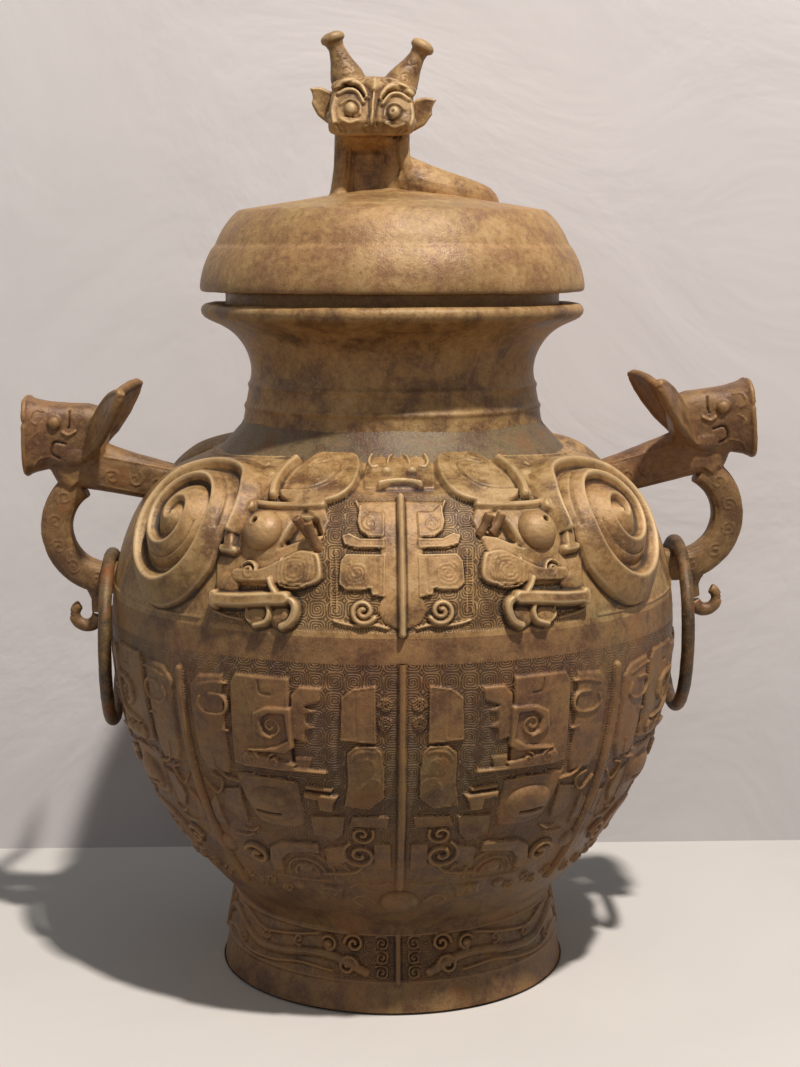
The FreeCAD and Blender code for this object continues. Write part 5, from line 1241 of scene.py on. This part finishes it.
def mask_eye(name, azimuth):
    """Domed eyeball with a small hole for its pupil."""
    spot, out = wall_point(azimuth, EYE_SPOT[1], 0.9)
    rows, columns = ((44, 96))
    tilt = np.linspace(1.62, 0.0, rows)[:, None]
    turn = np.linspace(0, 2 * math.pi, columns, endpoint=False)[None, :]
    side = Vector((math.cos(azimuth * RAD), math.sin(azimuth * RAD), 0))
    rise = side.cross(out) * -1 if side.cross(out).z < 0 else side.cross(out)
    hole = (2.2 * math.copysign(1, math.sin(azimuth * RAD)) * (1 if abs(azimuth) < 90 else -1), 2.4)
    radius = EYE_RADIUS + 0 * tilt * turn
    u, v = radius * np.sin(tilt) * np.cos(turn), radius * np.sin(tilt) * np.sin(turn)
    proud = EYE_PROUD * np.cos(tilt) + 0 * turn
    gap = np.hypot(u - hole[0], v - hole[1])
    proud = proud - 2.2 * (1 - ramp(gap, 0.9, PUPIL_RADIUS)) + 0.25 * np.exp(-((gap - 2.3) / 0.6) ** 2)
    proud = proud + 0.10 * ripple(u * 3, v * 3, 71, 9.0)
    base = np.array(spot) / MM
    points = base + u[..., None] * np.array(side) + v[..., None] * np.array(rise)
    points = points + proud[..., None] * np.array(out)
    # Painted shade: the hollow value is low in the pupil hole and round the eye's foot against the wall,
    # where the finish darkens it
    hollow = -1.2 * (1 - ramp(gap, 0.9, PUPIL_RADIUS)) + 0.3 - 0.9 * ramp(tilt, 1.25, 1.6)
    return grid_piece(name, points, {"hollow": hollow, "relief": 4 + 0 * proud}, wrap=True)


PEG_BARS = { "front_left": [((-18.7, 227.6, 1.0), (-20.6, 230.6, 8.2)), ((-16.6, 223.4, 0.5),
                                                                         (-18.0, 229.0, 8.6))],
            "front_right": [((16.2, 228.4, 0.6), (18.0, 232.8, 5.4)), ((19.0, 229.4, 0.2),
                                                                       (21.2, 233.6, 3.4))],
            "rear_left": [((161.6, 228.8, 1.0), (158.4, 233.8, 8.0)), ((163.8, 226.6, 0.5),
                                                                       (161.4, 232.6, 8.0))],
            "rear_right": [((-161.6, 228.8, 1.0), (-158.4, 233.8, 7.6)), ((-163.8, 226.6, 0.5),
                                                                          (-161.4, 232.6, 8.4))], }


def mask_peg(name, bars, seed):
    """Broken casting pegs between an eye and the nose shield."""
    lump = Lump()
    for (a0, z0, p0), (a1, z1, p1) in bars:
        points = []
        for share in (-0.25, 0.0, 0.5, 1.0):
            spot, _ = wall_point(a0 + (a1 - a0) * share, z0 + (z1 - z0) * share, p0 + (p1 - p0) * share)
            points.append(spot / MM)
        lump.rod(points, [2.3, 2.2, 1.9, 2.1], 16)
    skin = Skin(lump, 0.45, 2)
    return skin.piece(name, 0.28, seed)


# Lid

LID_LOW, COLLAR_RADIUS = 327.7, 79.3


def bend(start, end, radius, step=0.6):
    """Convex arc in the (r, z) plane that bulges away from the axis."""
    (r0, z0), (r1, z1) = start, end
    chord = math.hypot(r1 - r0, z1 - z0)
    middle = ((r0 + r1) / 2, (z0 + z1) / 2)
    sag = math.sqrt(radius ** 2 - (chord / 2) ** 2)
    normal = ((z1 - z0) / chord, -(r1 - r0) / chord)
    centre = (middle[0] - normal[0] * sag, middle[1] - normal[1] * sag)
    first = math.atan2(z0 - centre[1], r0 - centre[0])
    last = math.atan2(z1 - centre[1], r1 - centre[0])
    count = max(2, int(chord / step))
    return [(centre[0] + radius * math.cos(first + (last - first) * i / count),
             centre[1] + radius * math.sin(first + (last - first) * i / count)) for i in range(count + 1)]


def lid_pieces():
    """Shell outside, collar and shell inside."""
    outside = [(COLLAR_RADIUS + 0.6, LID_LOW + 0.4), (90.6, 327.9), (91.3, 328.6)]
    outside += bend((91.4, 331.1), (85.2, 348.4), 40) + bend((84.0, 349.3), (73.2, 365.3), 40)
    outside += [(72.0, 365.9), (0.6, 377.4)]
    path = trace(outside, 0.6)
    top = turned_piece("lid_outside", path, 1.0, 0.14, 81)
    collar = trace([(75.7, 331.4), (75.9, 313.6), (76.6, 313.0), (77.6, 313.1), (78.6, 318), (79.3, 321.6),
                    (79.3, 328.0), (80.2, 328.3)], 0.8)
    skirt = turned_piece("lid_collar", collar, 1.6, 0.08, 83)
    inside = [(0.6, 373.4), (69.2, 361.3)] + bend((69.2, 361.3), (87.0, 332.4), 60)
    inside += [(86, 331.8), (75.6, 331.6)]
    under = turned_piece("lid_inside", trace(inside, 1.2), 2.4, 0.1, 85)
    return top, skirt, under


# Plain turned stretches of the jar


def neck_path():
    """Neck with its two strings, flare and flat lip."""
    z = np.arange(BAND_TOP, FLARE_TOP, 0.5)
    r = radius_at(z)
    for level in STRINGS:
        r = r + STRING_PROUD * np.exp(-(np.abs(z - level) / STRING_HALF) ** 3)
    points = list(zip(r, z))
    points += [(83.6, 313.6), (88.4, 315.2), (90.8, 315.9), (91.4, 316.8), (91.5, 319.6), (91.3, 322.2),
               (90.5, 322.9), (87, 323.0), (83.4, 323.0), (82.6, 322.6), (81.2, 320.6)]
    return soften(np.array(points, float), 4)


def inside_path():
    """Inside of the jar, from the mouth down to the middle of its floor."""
    points = [(81.2, 320.6), (79.6, 319.4), (78.4, 317), (74.6, 312.4), (72.1, 310.4)]
    bend_inside = FLARE_BEND + WALL
    for level in np.arange(308, NECK_HEIGHT, -1.0):
        drop = math.sqrt(bend_inside ** 2 - (level - NECK_HEIGHT) ** 2)
        points.append((NECK_RADIUS + FLARE_BEND - drop, level))
    points += [(NECK_RADIUS - WALL, NECK_HEIGHT), (65.8, 277), (68, NECK_LOW_HEIGHT), (74.5, 254)]
    for level in np.arange(244, 46, -3.0):
        radius, slope = radius_at(level), (radius_at(level + 1) - radius_at(level - 1)) / 2
        size = math.hypot(1, slope)
        points.append((radius - WALL / size, level + WALL * slope / size))
    points += [(70, 40.2), (60, 38.2), (30, 38.0), (0.6, 38.0)]
    return soften(np.array(points, float), 3)


def under_path():
    """Underside: the middle of the hollow foot, out and down to its standing edge."""
    points = [(0.6, 34), (30, 34), (60, 34), (68, 34), (72, 30), (75.4, 15), (78.6, 1.0), (79.2, 0.2),
              (80.4, 0.0), (82.9, 0.0), (83.8, 0.3), (84.3, 0.9)]
    return trace(points, 1.2)


# Materials


class Nodes:
    """Short hand for building a node material."""

    def __init__(self, name):
        self.material = bpy.data.materials.new(name)
        self.material.use_nodes = True
        self.tree = self.material.node_tree
        self.shader = self.tree.nodes["Principled BSDF"]

    def make(self, kind, **settings):
        node = self.tree.nodes.new(kind)
        for key, value in settings.items():
            setattr(node, key, value)
        return node

    def link(self, source, target):
        self.tree.links.new(source, target)

    def put(self, socket, value):
        """Sets a socket to a number, or links another node's output to it."""
        if isinstance(value, bpy.types.NodeSocket):
            self.link(value, socket)
        else:
            socket.default_value = value

    def math(self, operation, a, b=0.0):
        node = self.make("ShaderNodeMath", operation=operation)
        self.put(node.inputs[0], a)
        self.put(node.inputs[1], b)
        return node.outputs[0]

    def span(self, value, low, high, out_low=0.0, out_high=1.0):
        """Smooth step between two output values."""
        node = self.make("ShaderNodeMapRange", interpolation_type="SMOOTHSTEP")
        self.put(node.inputs["Value"], value)
        for key, number in (("From Min", low), ("From Max", high), ("To Min", out_low), ("To Max", out_high)):
            self.put(node.inputs[key], number)
        return node.outputs["Result"]

    def mix(self, factor, a, b):
        """A colour between a and b; each is a plain colour or another node's output."""
        node = self.make("ShaderNodeMix", data_type="RGBA")
        self.put(node.inputs["Factor"], factor)
        self.put(node.inputs["A"], a if isinstance(a, bpy.types.NodeSocket) else (*a, 1))
        self.put(node.inputs["B"], b if isinstance(b, bpy.types.NodeSocket) else (*b, 1))
        return node.outputs["Result"]

    def noise(self, scale, detail=6.0, rough=0.6, distort=0.0):
        node = self.make("ShaderNodeTexNoise")
        node.inputs["Scale"].default_value = scale
        node.inputs["Detail"].default_value = detail
        node.inputs["Roughness"].default_value = rough
        node.inputs["Distortion"].default_value = distort
        self.link(self.place(), node.inputs["Vector"])
        return node.outputs["Fac"]

    def cells(self, scale):
        """Distance to the nearest of scattered points."""
        node = self.make("ShaderNodeTexVoronoi")
        node.inputs["Scale"].default_value = scale
        self.link(self.place(), node.inputs["Vector"])
        return node.outputs["Distance"]

    def place(self):
        """Object coordinates, made once for a material."""
        if not hasattr(self, "coordinates"):
            self.coordinates = self.make("ShaderNodeTexCoord")
        return self.coordinates.outputs["Object"]

    def attribute(self, name):
        """A value that the mesh carries at its points."""
        node = self.make("ShaderNodeAttribute", attribute_name=name)
        return node.outputs["Fac"]

    def bump(self, height, distance, strength=1.0, normal=None):
        node = self.make("ShaderNodeBump")
        node.inputs["Distance"].default_value = distance
        node.inputs["Strength"].default_value = strength
        self.link(height, node.inputs["Height"])
        if normal is not None:
            self.link(normal, node.inputs["Normal"])
        return node.outputs["Normal"]


def colour(r, g, b):
    """Scene colour of an 8-bit display colour."""
    return tuple(((c / 255 + 0.055) / 1.055) ** 2.4 if c > 10 else c / 255 / 12.92 for c in (r, g, b))


BRONZE = colour(146, 104, 68)
BRONZE_LIGHT = colour(188, 142, 88)
BRONZE_PALE = colour(222, 188, 138)
BRONZE_DARK = colour(84, 48, 28)
BRONZE_BLACK = colour(22, 15, 11)
BRONZE_GREY = colour(100, 84, 66)
OLIVE = colour(134, 116, 70)
RUST = colour(150, 72, 26)
RUST_DARK = colour(84, 40, 18)
MALACHITE = colour(116, 130, 92)


def bronze(name, light, base, dark, rust=0.5, green=0.2, lined=False, polish=0.0):
    """Old cast bronze: brown skin, painted shade in its hollows, rubbed edges, rust and a little green."""
    nodes = Nodes(name)
    broad = nodes.noise(13.0, 5.0, 0.6, 0.4)
    middle = nodes.noise(64.0, 7.0, 0.66, 0.2)
    fine = nodes.noise(330.0, 5.0, 0.7)
    grain = nodes.noise(1300.0, 3.0, 0.7)
    hollow = nodes.attribute("hollow")
    tone = nodes.mix(nodes.span(broad, 0.30, 0.72, 0.0, 0.55), base, OLIVE)
    tone = nodes.mix(nodes.span(middle, 0.36, 0.56, 0.75, 0.0), tone, dark)
    tone = nodes.mix(nodes.span(middle, 0.50, 0.70, 0.0, 0.45), tone, light)
    tone = nodes.mix(nodes.span(fine, 0.50, 0.68, 0.0, 0.38), tone, BRONZE_DARK)
    tone = nodes.mix(nodes.span(fine, 0.50, 0.34, 0.0, 0.22), tone, light)
    tone = nodes.mix(nodes.span(grain, 0.54, 0.70, 0.0, 0.22), tone, BRONZE_PALE)
    tone = nodes.mix(nodes.span(grain, 0.46, 0.30, 0.0, 0.30), tone, BRONZE_BLACK)
    # Rubbed crests, and painted shade that darkens the hollows
    worn = nodes.math("ADD", hollow, nodes.math("MULTIPLY", nodes.math("SUBTRACT", fine, 0.5), 0.7))
    tone = nodes.mix(nodes.span(worn, 0.12, 0.85, 0.0, 0.7 + 0.2 * polish), tone, light)
    # Painted shade: the lower the hollow value, the nearer the colour goes to near black
    shade_depth = nodes.math("ADD", hollow, nodes.math("MULTIPLY", nodes.math("SUBTRACT", middle, 0.5), 0.6))
    sunk = nodes.span(shade_depth, -0.75, -0.12, 1.0, 0.0)
    tone = nodes.mix(nodes.math("MULTIPLY", sunk, 0.85), tone, BRONZE_BLACK)
    # Rust that gathers beside the hollows
    spread = nodes.math("ADD", nodes.math("MULTIPLY", middle, 0.6),
                        nodes.math("MULTIPLY", nodes.noise(34.0, 7.0, 0.7), 0.6))
    spread = nodes.math("SUBTRACT", spread, nodes.math("MULTIPLY", nodes.span(hollow, -0.6, 0.3), 0.10))
    rusty = nodes.span(spread, 0.60 - 0.08 * rust, 0.74 - 0.08 * rust, 0.0, 0.8)
    tone = nodes.mix(nodes.math("MULTIPLY", rusty, rust), tone,
                     nodes.mix(nodes.span(fine, 0.4, 0.6), RUST_DARK, RUST))
    patina = nodes.span(nodes.noise(23.0, 8.0, 0.72, 0.8), 0.60, 0.70, 0.0, 0.8)
    tone = nodes.mix(nodes.math("MULTIPLY", patina, green), tone, MALACHITE)
    specks = nodes.span(nodes.cells(260.0), 0.05, 0.22, 0.5, 0.0)
    tone = nodes.mix(nodes.math("MULTIPLY", specks, nodes.span(broad, 0.45, 0.7)), tone, BRONZE_BLACK)
    height = nodes.math("ADD", nodes.math("MULTIPLY", fine, 0.5), nodes.math("MULTIPLY", grain, 0.25))
    height = nodes.math("ADD", height, nodes.math("MULTIPLY", middle, 0.7))
    normal = nodes.bump(height, 0.0005, 1.0)
    if lined:
        ground = nodes.attribute("ground")
        phase = nodes.math("FRACT", nodes.attribute("lines"))
        ridge = nodes.math("ABSOLUTE", nodes.math("SUBTRACT", phase, 0.5))
        groove = nodes.span(ridge, 0.16, 0.34)
        cut = nodes.math("MULTIPLY", groove, nodes.math("MULTIPLY", ground, nodes.span(middle, 0.26, 0.46)))
        normal = nodes.bump(nodes.math("SUBTRACT", 1.0, cut), 0.0007, 1.0, normal)
        # Painted shade: the fine grooves go towards near black
        tone = nodes.mix(nodes.math("MULTIPLY", cut, 0.62), tone, BRONZE_BLACK)
    nodes.link(tone, nodes.shader.inputs["Base Color"])
    nodes.link(normal, nodes.shader.inputs["Normal"])
    nodes.shader.inputs["Metallic"].default_value = 0.12
    rough = nodes.span(nodes.math("ADD", middle, nodes.math("MULTIPLY", sunk, 0.3)), 0.3, 0.9,
                       0.42 - 0.1 * polish, 0.74)
    nodes.link(rough, nodes.shader.inputs["Roughness"])
    nodes.shader.inputs["Specular IOR Level"].default_value = 0.5
    return nodes.material


def plain_stage(name, tint, folds=False):
    """Floor or backdrop paper: pale to the eye and in gloss, and dim in the light it throws back."""
    nodes = Nodes(name)
    path = nodes.make("ShaderNodeLightPath")
    seen = nodes.math("MAXIMUM", path.outputs["Is Camera Ray"], path.outputs["Is Glossy Ray"])
    seen = nodes.math("MAXIMUM", seen, path.outputs["Is Transmission Ray"])
    creases = nodes.noise(5.0, 5.0, 0.55, 1.2)
    shown = nodes.mix(nodes.span(creases, 0.35, 0.65, 0.0, 0.07), tint, colour(160, 152, 148))
    nodes.link(nodes.mix(seen, colour(96, 88, 80), shown), nodes.shader.inputs["Base Color"])
    nodes.shader.inputs["Roughness"].default_value = 0.9
    if folds:
        nodes.link(nodes.bump(creases, 0.006, 0.4), nodes.shader.inputs["Normal"])
        facing = nodes.math("SUBTRACT", 1.0, nodes.make("ShaderNodeNewGeometry").outputs["Backfacing"])
        nodes.link(nodes.math("MULTIPLY", seen, facing), nodes.shader.inputs["Alpha"])
    return nodes.material


# Assembly

body_look = bronze("body_bronze", BRONZE_LIGHT, BRONZE, BRONZE_DARK, 0.45, 0.22, lined=True)
band_look = bronze("shoulder_bronze", BRONZE_PALE, BRONZE_LIGHT, BRONZE_DARK, 0.35, 0.30, lined=True,
                   polish=0.3)
lid_look = bronze("lid_bronze", BRONZE_PALE, BRONZE_LIGHT, BRONZE, 0.35, 0.35, polish=0.4)
dragon_look = bronze("dragon_bronze", BRONZE_PALE, BRONZE_LIGHT, BRONZE_DARK, 0.5, 0.1)
handle_look = bronze("handle_bronze", BRONZE_LIGHT, BRONZE, BRONZE_DARK, 0.6, 0.12)
ring_look = bronze("ring_bronze", BRONZE_LIGHT, BRONZE_DARK, BRONZE_BLACK, 0.85, 0.25)
eye_look = bronze("eye_bronze", BRONZE_PALE, BRONZE_LIGHT, BRONZE, 0.2, 0.0, polish=0.8)
plain_look = bronze("inner_bronze", BRONZE, BRONZE_GREY, BRONZE_DARK, 0.4, 0.45)


def dress(pieces, body, look, nodes):
    """Puts pieces on a body with their finish, in place of some of its solids."""
    for piece in pieces:
        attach(piece, body)
        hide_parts(*nodes)
        piece.data.materials.clear()
        piece.data.materials.append(look)


SIDES = ("left", "right")
FACES = ("front", "rear")
horns = [f"coil_horn_{face}_{side}" for face in FACES for side in SIDES]
mask = mask_relief()
panel = panel_relief()
foot = foot_relief()
band_pieces = wall_zone("mask_band", mask, LEDGE_HIGH - 0.5, BAND_TOP, 180, (0, 90, 180, 270), 90)
dress(band_pieces, "vessel", band_look, ["vessel_body"] + horns)
ledge_pieces = wall_zone("ledge", None, LEDGE_LOW, LEDGE_HIGH - 0.5, 360, (0, 180), 180)
belly_pieces = wall_zone("belly", panel, FOOT_HEIGHT + 1.5, LEDGE_LOW, 90, range(0, 360, 45), 45)
foot_pieces = wall_zone("foot", foot, 0.9, FOOT_HEIGHT + 1.5, 180, (0, 90, 180, 270), 90)
dress(belly_pieces + foot_pieces + ledge_pieces, "vessel", body_look, ["vessel_body"])
fine_turn = 0.9
neck = turned_piece("neck", neck_path(), fine_turn)
dress([neck], "vessel", band_look, ["vessel_body"])
hollow_turn = fine_turn * 2.4
inner = turned_piece("inside", inside_path(), hollow_turn, 0.12, 33)
under = turned_piece("underside", under_path(), hollow_turn, 0.05, 35)
dress([inner, under], "vessel", plain_look, ["vessel_body"])

for face, centre in (("front", 0), ("rear", 180)):
    for side_name, side in (("left", -1), ("right", 1)):
        azimuth = centre + side * EYE_SPOT[0]
        eye = mask_eye(f"eye_{face}_{side_name}", azimuth)
        dress([eye], "vessel", eye_look, [f"eye_boss_{face}_{side_name}"])
        bars = PEG_BARS[f"{face}_{side_name}"]
        peg = mask_peg(f"pegs_{face}_{side_name}", bars, 90 + side)
        dress([peg], "vessel", body_look, [f"mask_peg_{face}_{side_name}"])

for side_name, side in (("left", -1), ("right", 1)):
    grip = handle(f"handle_{side_name}", side)
    nodes = [f"handle_head_{side_name}", f"handle_loop_{side_name}"]
    nodes += [f"handle_ear_{side_name}_{face}" for face in ("front", "back")]
    dress([grip], "vessel", handle_look, nodes)
    low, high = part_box(f"ring_{side_name}")
    middle = [(low[i] + high[i]) / 2 / MM for i in range(3)]
    ring = loose_ring(f"loose_ring_{side_name}", middle, -side * 1.0)
    dress([ring], f"ring_{side_name}", ring_look, [f"ring_{side_name}"])
dress([tipping_handle()], "vessel", handle_look, ["tipping_head", "tipping_loop"])
dress(lid_pieces(), "lid", lid_look, ["lid_shell"])
dragon_nodes = ["dragon_head", "dragon_coil"]
dragon_nodes += [f"dragon_{part}_{side}" for part in ("horn", "ear") for side in SIDES]
dress([dragon()], "lid", dragon_look, dragon_nodes)


# Floor, backdrop, light and camera


def sheet_plane(name, corners, look):
    """A flat sheet of the surroundings."""
    mesh = bpy.data.meshes.new(name)
    mesh.from_pydata(corners, [], [(0, 1, 2, 3)])
    obj = bpy.data.objects.new(name, mesh)
    bpy.context.collection.objects.link(obj)
    mesh.materials.append(look)
    return obj


FLOOR_TINT = colour(232, 224, 216)
WALL_TINT = colour(252, 244, 242)
WALL_BACK = 0.168
floor_look = plain_stage("pale_floor", FLOOR_TINT)
wall_look = plain_stage("pale_wall", WALL_TINT, folds=True)
sheet_plane("floor", [(-6, -6, 0), (6, -6, 0), (6, 6, 0), (-6, 6, 0)], floor_look)
backdrop = [(-3, WALL_BACK, 0), (3, WALL_BACK, 0), (3, WALL_BACK, 2.5), (-3, WALL_BACK, 2.5)]
sheet_plane("backdrop", backdrop, wall_look)

world = bpy.data.worlds.new("studio")
bpy.context.scene.world = world
world.use_nodes = True
tree = world.node_tree
fill = tree.nodes["Background"]
fill.inputs["Color"].default_value = (0.93, 0.97, 1.0, 1)
fill.inputs["Strength"].default_value = 0.17
shown = tree.nodes.new("ShaderNodeBackground")
shown.inputs["Color"].default_value = (*colour(196, 188, 185), 1)
path = tree.nodes.new("ShaderNodeLightPath")
either = tree.nodes.new("ShaderNodeMath")
either.operation = "MAXIMUM"
seen = tree.nodes.new("ShaderNodeMath")
seen.operation = "MAXIMUM"
tree.links.new(path.outputs["Is Camera Ray"], either.inputs[0])
tree.links.new(path.outputs["Is Glossy Ray"], either.inputs[1])
tree.links.new(either.outputs[0], seen.inputs[0])
tree.links.new(path.outputs["Is Transmission Ray"], seen.inputs[1])
blend = tree.nodes.new("ShaderNodeMixShader")
tree.links.new(seen.outputs[0], blend.inputs[0])
tree.links.new(fill.outputs[0], blend.inputs[1])
tree.links.new(shown.outputs[0], blend.inputs[2])
tree.links.new(blend.outputs[0], tree.nodes["World Output"].inputs["Surface"])


def lamp(name, azimuth, elevation, distance, size, watts, tint):
    """A square lamp that looks at the jar; azimuth 0 is the camera's side, positive to the right."""
    light = bpy.data.lights.new(name, "AREA")
    light.size = size
    light.energy = watts
    light.color = tint
    obj = bpy.data.objects.new(name, light)
    a, e = azimuth * RAD, elevation * RAD
    target = Vector((0, 0, 0.22))
    offset = Vector((math.sin(a) * math.cos(e), -math.cos(a) * math.cos(e), math.sin(e))) * distance
    obj.location = target + offset
    obj.rotation_euler = (-offset).to_track_quat("-Z", "Y").to_euler()
    bpy.context.collection.objects.link(obj)


lamp("key", 27, 63, 2.6, 0.11, 68, (1.0, 0.965, 0.92))
lamp("soft", -60, 25, 3.0, 2.4, 3, (0.92, 0.96, 1.0))

camera = bpy.data.cameras.new("camera")
camera.lens = 62.76
viewer = bpy.data.objects.new("camera", camera)
viewer.location = (-0.0276, -0.8948, 0.3432)
viewer.rotation_euler = (81.6 * RAD, 0, -2 * RAD)
bpy.context.collection.objects.link(viewer)
bpy.context.scene.camera = viewer
bpy.context.scene.view_settings.view_transform = "Standard"
